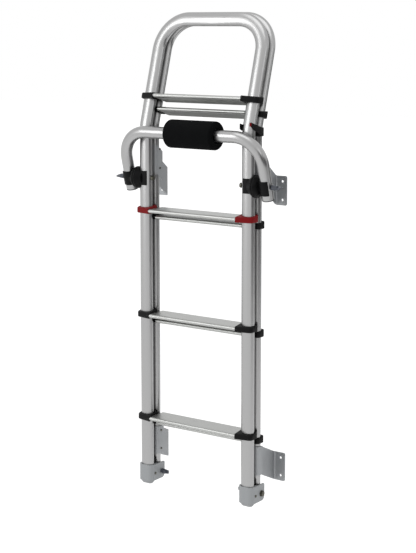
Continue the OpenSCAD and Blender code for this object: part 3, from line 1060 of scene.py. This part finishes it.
@dataclass
class SheetBracket(SubAssembly):
    """One wall bracket: a sheet bent round the rear stile, out to the wall and sideways.

    Distances along Y are measured back from the rear stile's axis, and distances
    along X from the same axis away from the ladder's middle.

    Attributes:
        side: The side that it is on.
        level: Its level.
        height: Its height.
        fold: Radius of its folds.
        inner_end: Where the wrap's inner flank ends.
        outer_end: Where its outer flank ends.
        plate: Where the plate to the wall lies along X.
        plate_start: Where that plate starts.
        reach: Where the wall lies.
        flange_out: How far out the flange reaches.
        hole_out: How far out its holes lie.
        hole_r: Their radius.
        hole_step: Distance between them.
        corner: Radius of the flange's corners.
    """

    side: Side
    level: Level
    height: float = 76.0
    fold: float = 3.5
    inner_end: float = 14.0
    outer_end: float = 11.0
    plate: float = 13.0
    plate_start: float = 19.0
    reach: float = 82.0
    flange_out: float = 44.5
    hole_out: float = 31.5
    hole_r: float = 3.3
    hole_step: float = 48.0
    corner: float = 4.0

    def build(self) -> Piece:
        """Bends the sheet, drills it and gives it its thickness.

        Returns:
            The new piece.
        """
        lay = LAYOUT
        shape = bmesh.new()
        front = self.reach - lay.sheet
        flank = lay.half_width + lay.sheet
        path = [(flank, self.outer_end), (self.plate, self.plate_start), (self.plate, front)]
        self.draw_path(shape, flank, path + [(self.flange_out, front)])
        top = grown_verts(bmesh.ops.extrude_edge_only(shape, edges=shape.edges))
        bmesh.ops.translate(shape, vec=(0, 0, self.height), verts=top)
        for x, y in reversed(path):
            round_edges(shape, upright(shape, x, y), self.fold, 5)
        for step in (-1, 1):
            self.drill(shape, front, self.height / 2 + step * self.hole_step / 2)
        ends = [v for v in shape.verts if v.co.x > self.flange_out - NEAR]
        ends = [v for v in ends if v.co.z < NEAR or v.co.z > self.height - NEAR]
        round_edges(shape, ends, self.corner, 5, "VERTICES")
        wrap_z, flange_z, slope_y = self.level.value
        self.slope(shape, slope_y - lay.gap, front, flange_z - wrap_z)
        bmesh.ops.recalc_face_normals(shape, faces=shape.faces)
        bmesh.ops.solidify(shape, geom=shape.faces[:], thickness=-lay.sheet)
        at = Vector((lay.half_span, lay.gap, wrap_z - self.height / 2))
        bmesh.ops.transform(shape, matrix=mirrored(self.side, at), verts=shape.verts)
        where = f"{self.level.name}_{self.side.name}".lower()
        return self.bench.deliver(
            shape, f"bent_bracket_{where}", "bracket", Body.REAR, (f"bracket_{where}",), sharp=30
        )

    def draw_path(self, shape: Shape, flank: float, path: list[tuple]) -> None:
        """Draws the outer face's path as seen from above.

        Args:
            shape: The shape that gets it.
            flank: Distance from the stile's axis to the wrap's flanks.
            path: The corners from the outer flank's end to the flange's end.
        """
        Sweep(shape).start((flank, LAYOUT.half_depth + LAYOUT.sheet), 2.8, Vector(), 64)
        behind = [v for v in shape.verts if v.co.y > NEAR]
        bmesh.ops.delete(shape, geom=behind, context="VERTS")
        inner = min(shape.verts, key=lambda v: v.co.x)
        outer = max(shape.verts, key=lambda v: v.co.x)
        for vert, corners in ((inner, [(-flank, self.inner_end)]), (outer, path)):
            for x, y in corners:
                vert = bmesh.ops.extrude_vert_indiv(shape, verts=[vert])["verts"][0]
                vert.co = (x, y, 0)

    def drill(self, shape: Shape, front: float, z: float) -> None:
        """Opens a round hole in the flange at a height.

        Args:
            shape: The bent sheet.
            front: Where the flange lies.
            z: Height of the hole.
        """
        for off in (-self.hole_r * 2, self.hole_r * 2):
            cut_at(shape, Vector((self.hole_out + off, 0, 0)), Vector((1, 0, 0)))
            cut_at(shape, Vector((0, 0, z + off)), Vector((0, 0, 1)))
        centre = Vector((self.hole_out, front, z))
        cell = min(shape.faces, key=lambda f: (f.calc_center_median() - centre).length)
        bmesh.ops.subdivide_edges(shape, edges=cell.edges[:], cuts=7)
        cell = min(shape.faces, key=lambda f: (f.calc_center_median() - centre).length)
        middle = bmesh.ops.poke(shape, faces=[cell])["verts"]
        spokes = [e.other_vert(middle[0]) for e in middle[0].link_edges]
        for vert in spokes:
            vert.co = centre + (vert.co - centre).normalized() * self.hole_r
        bmesh.ops.delete(shape, geom=middle, context="VERTS")

    def slope(self, shape: Shape, start: float, end: float, drop: float) -> None:
        """Lets the sheet slope down from the wrap to the flange.

        Args:
            shape: The bent sheet.
            start: Where it starts to slope.
            end: Where the flange lies.
            drop: How much higher the flange lies than the wrap.
        """
        cut_at(shape, Vector((0, start, 0)), Vector((0, 1, 0)))
        for vert in shape.verts:
            share = (vert.co.y - start) / (end - start)
            vert.co.z += drop * min(max(share, 0.0), 1.0)


@dataclass
class RetainingClip(SubAssembly):
    """The clip on the right rear stile: a ring and two arms beside the front stile.

    Attributes:
        ring_h: Height of the ring.
        arm_t: Thickness of an arm.
        play: Side play between an arm and the front stile.
        outer_tip: How far the outer arm reaches in front of the front stile's axis.
        inner_tip: The same for the inner arm.
        lift_under: How much the outer arm's lower edge rises toward its tip.
        lift_over: The same for its upper edge.
    """

    ring_h: float = 22.0
    arm_t: float = 3.0
    play: float = 0.5
    outer_tip: float = 22.0
    inner_tip: float = 9.0
    lift_under: float = 27.0
    lift_over: float = 16.0

    def build(self) -> Piece:
        """Makes the clip as one piece.

        Returns:
            The new piece.
        """
        lay = LAYOUT
        shape = bmesh.new()
        ring = Sweep(shape)
        size = (lay.half_width + self.arm_t, lay.half_depth + self.arm_t)
        ring.start(size, 3.0, Vector((lay.half_span, lay.gap, 0)), 56)
        ring.stand(self.ring_h, soft=1.5, segments=3)
        side = lay.half_width + self.play
        self.add_arm(shape, lay.half_span + side, self.outer_tip)
        self.add_arm(shape, lay.half_span - side - self.arm_t, self.inner_tip)
        bmesh.ops.translate(shape, vec=(0, 0, lay.bend_z), verts=shape.verts)
        return self.bench.deliver(
            shape, "clip_ring_and_arms", "black_plastic", Body.REAR, ("retaining_clip",), sharp=40
        )

    def add_arm(self, shape: Shape, x: float, tip: float) -> None:
        """Adds an arm that starts at X, rises toward its tip and tapers.

        Args:
            shape: The clip.
            x: The arm's first X.
            tip: How far it reaches in front of the front stile's axis.
        """
        root = LAYOUT.gap
        share = (root - LAYOUT.half_depth + tip) / (root - LAYOUT.half_depth + self.outer_tip)
        made = block(shape, (x, -tip, 0), (x + self.arm_t, root, self.ring_h))
        for vert in made:
            if vert.co.y < 0:
                lift = self.lift_over if vert.co.z > self.ring_h / 2 else self.lift_under
                vert.co.z += lift * share
        round_edges(shape, edges_among(shape, set(made)), 0.9, 3)


@dataclass
class ClampHalves(SubAssembly):
    """Both halves of the spacer's clamps: sleeves that flare to toothed discs.

    Attributes:
        sleeve: Height of a sleeve.
        stile_wall: Its wall round the stile.
        leg_wall: Its wall round the spacer's leg.
        stile_cut: Where the stile's sleeve ends, from the stile's axis inward.
        leg_cut: Where the leg's sleeve ends, from the leg's axis outward.
        back_cut: How far before the stile's back its sleeve ends.
        root: How far outside the stile's axis its flare starts.
        neck: Radius of the leg half's flare where it meets the leg.
        flesh: How much thicker the stile half's flare is there.
        shy: How far the flares stay inside the discs' rims and the leg's axis.
        flare: Length of the leg half's flare.
        disc_t: Thickness of a disc.
        disc_gap: Room between the two discs.
    """

    sleeve: float = 38.0
    stile_wall: float = 2.6
    leg_wall: float = 3.0
    stile_cut: float = 9.5
    leg_cut: float = 12.0
    back_cut: float = 2.0
    root: float = 5.0
    neck: float = 18.5
    flesh: float = 0.5
    shy: float = 1.0
    flare: float = 12.0
    disc_t: float = 5.3
    disc_gap: float = 0.2

    def build(self) -> list[Piece]:
        """Makes the stile halves and the leg halves, two pieces.

        Returns:
            The two new pieces.
        """
        return [
            self.pair(self.stile_half, "clamp_stile_halves", Body.FRONT, "clamp_stile_saddles"),
            self.pair(self.leg_half, "clamp_leg_halves", Body.BUMPER, "clamp_leg_saddles"),
        ]

    def pair(self, half: Callable, name: str, body: Body, node: str) -> Piece:
        """Makes a half on both sides as one piece.

        Args:
            half: The method that adds the right one.
            name: The piece's name.
            body: The body that carries it.
            node: The frame's node that it stands for.

        Returns:
            The new object.
        """
        shape = bmesh.new()
        half(shape)
        mirror_over(shape)
        bmesh.ops.translate(shape, vec=(0, 0, LAYOUT.clamp_z), verts=shape.verts)
        return self.bench.deliver(shape, name, "black_plastic", body, (node,), sharp=40)

    def stile_half(self, shape: Shape) -> None:
        """Adds the half on the stile: round its outer side and its whole front.

        Args:
            shape: The shape that gets it.
        """
        lay = LAYOUT
        body = Sweep(shape)
        size = (lay.half_width + self.stile_wall, lay.half_depth + self.stile_wall)
        body.start(size, 2.6, Vector((lay.half_span, 0, -self.sleeve / 2)), 64)
        body.stand(self.sleeve, soft=2.0)
        cut_away(shape, Vector((lay.half_span - self.stile_cut, 0, 0)), Vector((-1, 0, 0)))
        cut_away(shape, Vector((0, lay.half_depth - self.back_cut, 0)), Vector((0, 1, 0)))
        part = bmesh.new()
        start = lay.half_span + self.root
        rod(part, self.neck + self.flesh, start, lay.disc_x, 72, lay.disc_r - self.shy)
        cut_away(part, Vector((0, lay.half_depth, 0)), Vector((0, 1, 0)))
        add_to(shape, part)
        self.add_disc(shape, lay.disc_x)

    def leg_half(self, shape: Shape) -> None:
        """Adds the half on the spacer's leg: round its inner side and its front.

        Args:
            shape: The shape that gets it.
        """
        lay = LAYOUT
        disc = lay.disc_x + self.disc_t + self.disc_gap
        flared = disc + self.disc_t + self.flare
        body = Sweep(shape)
        size = (lay.leg_r + self.leg_wall,) * 2
        body.start(size, 2.0, Vector((lay.leg_x, 0, -self.sleeve / 2)), 56)
        body.stand(self.sleeve, soft=2.0)
        cut_away(shape, Vector((lay.leg_x + self.leg_cut, 0, 0)), Vector((1, 0, 0)))
        cut_away(shape, Vector((0, self.leg_cut / 2, 0)), Vector((0, 1, 0)))
        lean = Matrix.Rotation(math.radians(lay.leg_lean), 4, "X")
        bmesh.ops.transform(shape, matrix=lean, verts=shape.verts)
        part = bmesh.new()
        rod(part, lay.disc_r - self.shy, disc + self.disc_t, flared, 72, self.neck)
        rod(part, self.neck, flared, lay.leg_x - self.shy, 72, self.neck - self.flesh)
        add_to(shape, part)
        self.add_disc(shape, disc)

    def add_disc(self, shape: Shape, x: float) -> None:
        """Adds a disc from X on, with soft rims."""
        verts = rod(shape, LAYOUT.disc_r, x, x + self.disc_t, 72)
        round_edges(shape, rims(shape, verts, x, x + self.disc_t), 1.8)


@dataclass
class FoamRoller(SubAssembly):
    """The foam roller on the spacer's run, a soft cylinder with a sunk ring at each end.

    Attributes:
        edge: Radius of its round ends.
        bore: Radius of its bore.
        ring: Width of the sunk ring.
        sunk: How deep that ring lies.
        flank: How far the ring's flank slopes in.
    """

    edge: float = 6.0
    bore: float = 15.5
    ring: float = 5.0
    sunk: float = 2.5
    flank: float = 1.2

    def build(self) -> Piece:
        """Makes the roller, in place of the frame's plain one.

        Returns:
            The new piece.
        """
        low, high = self.bench.box("foam_roller")
        half = (high.x - low.x) / 2
        radius = (high.y - low.y) / 2
        shape = bmesh.new()
        verts = rod(shape, radius, -half, half, 96)
        round_edges(shape, rims(shape, verts, half, -half), self.edge, 8)
        for x in (half, -half):
            face = self.end_face(shape, x)
            flat = radius - self.edge - self.bore - self.ring
            bmesh.ops.inset_region(shape, faces=[face], thickness=flat)
            bmesh.ops.inset_region(shape, faces=[face], thickness=self.flank)
            bmesh.ops.translate(shape, vec=(math.copysign(self.sunk, -x), 0, 0), verts=face.verts)
            bmesh.ops.inset_region(shape, faces=[face], thickness=self.ring - self.flank)
        ends = [self.end_face(shape, x) for x in (half - self.sunk, self.sunk - half)]
        edges = [e for f in ends for e in f.edges]
        bmesh.ops.delete(shape, geom=ends, context="FACES_ONLY")
        bmesh.ops.bridge_loops(shape, edges=edges)
        bmesh.ops.translate(shape, vec=(low + high) / 2, verts=shape.verts)
        piece = self.bench.deliver(
            shape, "padded_foam_roller", "foam", Body.BUMPER, ("foam_roller",), sharp=60
        )
        return piece

    def end_face(self, shape: Shape, x: float) -> bmesh.types.BMFace:
        """Returns the largest face that lies in the plane at X."""
        flat = [f for f in shape.faces if all(abs(v.co.x - x) < NEAR for v in f.verts)]
        return max(flat, key=lambda f: f.calc_area())


@dataclass
class WingKnobs(SubAssembly):
    """A pair of wing knobs, one on each side: a round hub and a tapered, dished wing.

    Attributes:
        node: The frame's node that they stand for.
        name: The piece's name.
        body: The body that carries them.
        outward: Whether their grips point away from the ladder's middle.
        turn: Angle of the wings about the bolt, in degrees.
        length: Length of a knob.
        height: Height of its wing.
        thick: Measure of its thickness, of which hub and wing are shares.
        hub: Radius of the hub at its base and its end, as shares of the thickness.
        hub_reach: Share of the length that the hub takes.
        wing: Thickness of the wing, as a share.
        step: How far from the base the wing starts.
        taper: How much thinner and lower the wing's tip is, as shares.
        dish: Depth of the wing's hollows.
        dish_edge: Their distance from the wing's edge, as a share of its height.
    """

    node: str
    name: str
    body: Body
    outward: bool
    turn: float
    length: float
    height: float
    thick: float
    hub: tuple[float, float] = (0.62, 0.52)
    hub_reach: float = 0.6
    wing: float = 0.6
    step: float = 2.0
    taper: tuple[float, float] = (0.7, 0.62)
    dish: float = 0.8
    dish_edge: float = 0.16

    def build(self) -> Piece:
        """Makes both knobs as one piece.

        Returns:
            The new piece.
        """
        low, high = self.bench.box(self.node)
        base = high.x - self.length if self.outward else high.x
        at = Vector((base, (low.y + high.y) / 2, (low.z + high.z) / 2))
        facing = Matrix.Scale(1.0 if self.outward else -1.0, 4, (1, 0, 0))
        turn = facing @ Matrix.Rotation(math.radians(self.turn), 4, "X")
        shape = bmesh.new()
        on_both_sides(shape, lambda: self.add_knob(shape), at, turn)
        return self.bench.deliver(shape, self.name, "knob", self.body, (self.node,), sharp=40)

    def add_knob(self, shape: Shape) -> None:
        """Adds one knob with its base at X = 0.

        Args:
            shape: The shape that gets it.
        """
        end = self.length * self.hub_reach
        base_r, end_r = (self.thick * share for share in self.hub)
        hub = rod(shape, base_r, 0, end, 40, end_r)
        round_edges(shape, rims(shape, hub, end, 0), 0.8, 3)
        half = Vector((0, self.thick * self.wing, self.height)) / 2
        made = block(shape, Vector((self.step, 0, 0)) - half, Vector((self.length, 0, 0)) + half)
        tip = [v for v in made if v.co.x > self.length / 2]
        bmesh.ops.scale(shape, vec=(1, *self.taper), verts=tip)
        edges = edges_among(shape, set(made))
        for face in [f for f in {f for v in made for f in v.link_faces} if abs(f.normal.y) > 0.9]:
            edge = self.height * self.dish_edge
            bmesh.ops.inset_region(shape, faces=[face], thickness=edge)
            bmesh.ops.translate(shape, vec=face.normal * -self.dish, verts=face.verts)
        round_edges(shape, edges, min(2.2, self.thick * 0.18))


@dataclass
class PivotBolts(SubAssembly):
    """The two hinge bolts: a shank through block and stile end, a washer and a hexagon head.

    Attributes:
        shank: Radius of the shank.
        inward: How far the shank reaches inside the block.
        washer: Radius of the washer.
        washer_t: Its thickness.
        head: Radius over the head's corners.
        head_t: Height of the head.
        chamfer: Size of the head's chamfer.
    """

    shank: float = 4.0
    inward: float = 9.5
    washer: float = 8.0
    washer_t: float = 1.5
    head: float = 7.5
    head_t: float = 5.0
    chamfer: float = 0.8

    def build(self) -> Piece:
        """Makes both bolts as one piece.

        Returns:
            The new piece.
        """
        low, high = self.bench.box("pivot_bolts")
        block_low, block_high = self.bench.box("hinge_block_right")
        inner, seat = block_low.x - self.inward, block_high.x
        at = Vector((0, (low.y + high.y) / 2, (low.z + high.z) / 2))
        shape = bmesh.new()
        on_both_sides(shape, lambda: self.add_bolt(shape, inner, seat), at)
        return self.bench.deliver(
            shape, "hinge_hex_bolts", "steel", Body.FRONT, ("pivot_bolts",), sharp=30
        )

    def add_bolt(self, shape: Shape, inner: float, seat: float) -> None:
        """Adds one bolt, as on the right.

        Args:
            shape: The shape that gets it.
            inner: The shank's inner end.
            seat: Where the washer lies.
        """
        rod(shape, self.shank, inner, seat, 32)
        under = seat + self.washer_t
        washer = rod(shape, self.washer, seat, under, 40)
        round_edges(shape, rims(shape, washer, under), 0.3, 2)
        head = rod(shape, self.head, under, under + self.head_t, 6)
        round_edges(shape, rims(shape, head, under + self.head_t), self.chamfer, 1)


@dataclass
class FlankScrews(SubAssembly):
    """The small screws that hold the brackets on the inner flanks of the rear stiles.

    Attributes:
        step: Distance between a wrap's two screws.
        head: Radius of a head.
        stands: How far a head stands out.
        shank: Length of a shank.
    """

    step: float = 50.0
    head: float = 2.8
    stands: float = 1.6
    shank: float = 6.0

    def build(self) -> Piece:
        """Makes all eight screws as one piece.

        Returns:
            The new piece.
        """
        low, high = self.bench.box("bracket_screws")
        inner = LAYOUT.half_span - LAYOUT.half_width - LAYOUT.sheet
        shape = bmesh.new()
        for level in Level:
            for step in (-self.step / 2, self.step / 2):
                at = Vector((inner, (low.y + high.y) / 2, level.value[0] + step))
                on_both_sides(shape, lambda: self.add_screw(shape), at)
        return self.bench.deliver(
            shape, "bracket_flank_screws", "steel", Body.REAR, ("bracket_screws",), sharp=40
        )

    def add_screw(self, shape: Shape) -> None:
        """Adds one screw whose head lies on X = 0.

        Args:
            shape: The shape that gets it.
        """
        head = rod(shape, self.head, -self.stands, 0, 24)
        round_edges(shape, rims(shape, head, -self.stands), 0.7, 3)
        rod(shape, self.head / 2, 0, self.shank, 16)


# Studio


@dataclass
class Studio:
    """The camera, floor, world and lamps of the picture.

    Attributes:
        place: The camera's place in the frame, in metres.
        yaw: Its turn to the left, in degrees.
        pitch: Its tilt down, in degrees.
        focal_px: Its focal length in the picture's pixels.
        centre_row: The picture's row that the camera's axis meets.
        height_px: The picture's height.
        sensor_mm: The size of the camera's sensor.
        lamps: Name, place from the ladder's middle, width and height in metres, and
            power in watts of the lamps.
        cards: The same for the grey cards, with their colours. The first two face
            the ladder and the last one faces up.
    """

    place: tuple[float, float, float] = (1.8809, -3.0131, 0.4262)
    yaw: float = 35.069
    pitch: float = 7.443
    focal_px: float = 1396.3
    centre_row: float = 205.0
    height_px: int = 553
    sensor_mm: float = 36.0
    lamps: tuple = (
        ("left_softbox", (-1.7, -2.5, 1.0), (0.8, 2.0), 20.0),
        ("right_softbox", (2.6, -1.2, 0.6), (0.6, 2.4), 5.0),
        ("top_softbox", (0.0, -0.9, 2.6), (2.0, 1.4), 12.0),
    )
    cards: tuple = (
        ("back_card", (1.5, 2.3, 0.01), (2.2, 1.28), "#6E6E6E", False),
        ("side_card", (2.49, -0.9, 0.11), (4.4, 1.48), "#525252", False),
        ("low_card", (-1.5, 2.2, -0.62), (3.0, 3.0), "#7A7A7A", True),
    )

    def set_camera(self) -> None:
        """Sets the camera at the picture's viewing angle."""
        data = bpy.data.cameras.new("picture_camera")
        data.sensor_width = self.sensor_mm
        data.lens = self.focal_px / self.height_px * self.sensor_mm
        data.shift_y = (self.centre_row - self.height_px / 2) / self.height_px
        camera = bpy.data.objects.new("picture_camera", data)
        camera.location = self.place
        camera.rotation_euler = (math.radians(90 - self.pitch), 0, math.radians(self.yaw))
        bpy.context.scene.collection.objects.link(camera)
        bpy.context.scene.camera = camera

    def add_sheet(self, name: str, matrix: Matrix, material: Material) -> Piece:
        """Adds a flat sheet, one metre wide before its matrix places it.

        Args:
            name: Its name.
            matrix: Its place, turn and size.
            material: Its material.

        Returns:
            The new object.
        """
        shape = bmesh.new()
        bmesh.ops.create_grid(shape, x_segments=1, y_segments=1, size=0.5)
        bmesh.ops.transform(shape, matrix=matrix, verts=shape.verts)
        mesh = bpy.data.meshes.new(name)
        shape.to_mesh(mesh)
        shape.free()
        mesh.materials.append(material)
        sheet = bpy.data.objects.new(name, mesh)
        bpy.context.scene.collection.objects.link(sheet)
        return sheet

    def lay_floor(self, height: float, side: float = 60.0) -> None:
        """Lays a pale floor that keeps the shadow.

        Args:
            height: Where it lies, in metres.
            side: Its width, in metres.
        """
        matrix = Matrix.Translation((0, 0, height)) @ Matrix.Diagonal((side, side, 1, 1))
        floor = self.add_sheet("pale_floor", matrix, self.floor_material())
        floor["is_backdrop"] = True

    def seen(self, tree: Tree, strength: float) -> Socket:
        """Adds a strength that holds for camera, glossy and transmission rays only.

        Args:
            tree: The tree that gets the nodes.
            strength: The strength for those rays.

        Returns:
            The strength's socket.
        """
        path = add_node(tree, "ShaderNodeLightPath").outputs
        value = path["Is Camera Ray"]
        for ray in ("Is Glossy Ray", "Is Transmission Ray"):
            links = {0: value, 1: path[ray]}
            value = add_node(tree, "ShaderNodeMath", {"operation": "MAXIMUM"}, links=links).outputs[0]
        scaled = add_node(
            tree, "ShaderNodeMath", {"operation": "MULTIPLY"}, {1: strength}, {0: value}
        )
        return scaled.outputs[0]

    def floor_material(self, white: float = 0.53) -> Material:
        """Makes the floor's matt white paint, with white added where it is seen.

        Args:
            white: How much white is added.

        Returns:
            The new material.
        """
        material = new_material("matt_white_floor_paint")
        tree = material.node_tree
        paint = add_node(tree, "ShaderNodeBsdfDiffuse", values={"Color": linear("#F2F2F2")})
        glow = add_node(
            tree,
            "ShaderNodeEmission",
            values={"Color": linear("#FFFFFF")},
            links={"Strength": self.seen(tree, white)},
        )
        both = add_node(
            tree, "ShaderNodeAddShader", links={0: paint.outputs[0], 1: glow.outputs[0]}
        )
        add_node(tree, "ShaderNodeOutputMaterial", links={"Surface": both.outputs[0]})
        return material

    def felt(self, colour: str) -> Material:
        """Makes the matt grey felt of the cards.

        Args:
            colour: The sRGB hex colour.

        Returns:
            The new material.
        """
        material = new_material("grey_felt")
        tree = material.node_tree
        felt = add_node(tree, "ShaderNodeBsdfDiffuse", values={"Color": linear(colour)})
        add_node(tree, "ShaderNodeOutputMaterial", links={"Surface": felt.outputs[0]})
        return material

    def set_world(self, level: float = 0.7) -> None:
        """Sets a world that is white where it is seen and lights at a plain level.

        Args:
            level: The strength of its light.
        """
        world = bpy.data.worlds.new("studio_world")
        world.use_nodes = True
        tree = world.node_tree
        tree.nodes.clear()
        fill, white = (
            add_node(
                tree,
                "ShaderNodeBackground",
                values={"Color": linear("#FFFFFF"), "Strength": strength},
            )
            for strength in (level, 1.0)
        )
        mix = add_node(
            tree,
            "ShaderNodeMixShader",
            links={0: self.seen(tree, 1.0), 1: fill.outputs[0], 2: white.outputs[0]},
        )
        add_node(tree, "ShaderNodeOutputWorld", links={"Surface": mix.outputs[0]})
        bpy.context.scene.world = world
        bpy.context.scene.view_settings.view_transform = "Standard"

    def add_lamps(self, aim: Vector) -> None:
        """Adds the soft rectangular lamps.

        Args:
            aim: The point that they face.
        """
        for name, away, size, watts in self.lamps:
            data = bpy.data.lights.new(name, "AREA")
            data.shape = "RECTANGLE"
            data.size, data.size_y = size
            data.energy = watts
            lamp = bpy.data.objects.new(name, data)
            lamp.location = aim + Vector(away)
            lamp.rotation_euler = (-Vector(away)).to_track_quat("-Z", "Y").to_euler()
            bpy.context.scene.collection.objects.link(lamp)

    def hang_cards(self, aim: Vector) -> None:
        """Hangs the grey cards round a point.

        Only reflections see them, so that metal shows its form.

        Args:
            aim: The point that they face.
        """
        for name, away, size, colour, upward in self.cards:
            facing = Vector((0, 0, 1)) if upward else -Vector(away)
            turn = facing.to_track_quat("Z", "Y").to_matrix().to_4x4()
            matrix = Matrix.Translation(aim + Vector(away)) @ turn @ Matrix.Diagonal((*size, 1, 1))
            card = self.add_sheet(name, matrix, self.felt(colour))
            card.visible_camera = False
            card.visible_diffuse = False
            card.visible_shadow = False
            card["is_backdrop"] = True

    def build(self) -> None:
        """Sets the whole studio round the ladder.

        The floor lies one ladder's height below it, where the unfolded one ends.
        """
        low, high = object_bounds()
        aim = (low + high) / 2
        self.set_camera()
        self.lay_floor(low.z - (high.z - low.z))
        self.set_world()
        self.add_lamps(aim)
        self.hang_cards(aim)
        LOG.info("studio set round %s", [round(v, 3) for v in aim])


def corners() -> list[list[float]]:
    """Returns the shown object's lowest and highest corner as plain lists."""
    return [[float(v) for v in corner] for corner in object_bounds()]


def main() -> None:
    """Builds and dresses the ladder piece by piece, then sets the studio."""
    logging.basicConfig(level=logging.INFO, format="%(message)s")
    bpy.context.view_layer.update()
    bench = Bench()
    bench.dress_nodes()
    BentFrame(bench, Body.FRONT, foot=-20.0).build()
    BentFrame(bench, Body.REAR, foot=16.0).build()
    SpacerTube(bench).build()
    for number in range(1, LAYOUT.rungs + 1):
        Tread(bench, Body.FRONT, number).build()
        Tread(bench, Body.REAR, number).build()
        CapPair(bench, Body.FRONT, number, front=25.8, nose=17.0, above=1.6).build()
        CapPair(bench, Body.REAR, number, front=14.0, nose=14.0, above=2.0).build()
    for side in Side:
        for level in Level:
            SheetBracket(bench, side, level).build()
    RetainingClip(bench).build()
    ClampHalves(bench).build()
    FoamRoller(bench).build()
    WingKnobs(
        bench,
        node="clamp_knobs",
        name="clamp_wing_knobs",
        body=Body.BUMPER,
        outward=True,
        turn=105.0,
        length=28.0,
        height=20.0,
        thick=11.0,
    ).build()
    WingKnobs(
        bench,
        node="pivot_knobs",
        name="hinge_wing_knobs",
        body=Body.FRONT,
        outward=False,
        turn=0.0,
        length=25.0,
        height=15.0,
        thick=9.0,
    ).build()
    PivotBolts(bench).build()
    FlankScrews(bench).build()
    Studio().build()


if __name__ == "__main__":
    main()
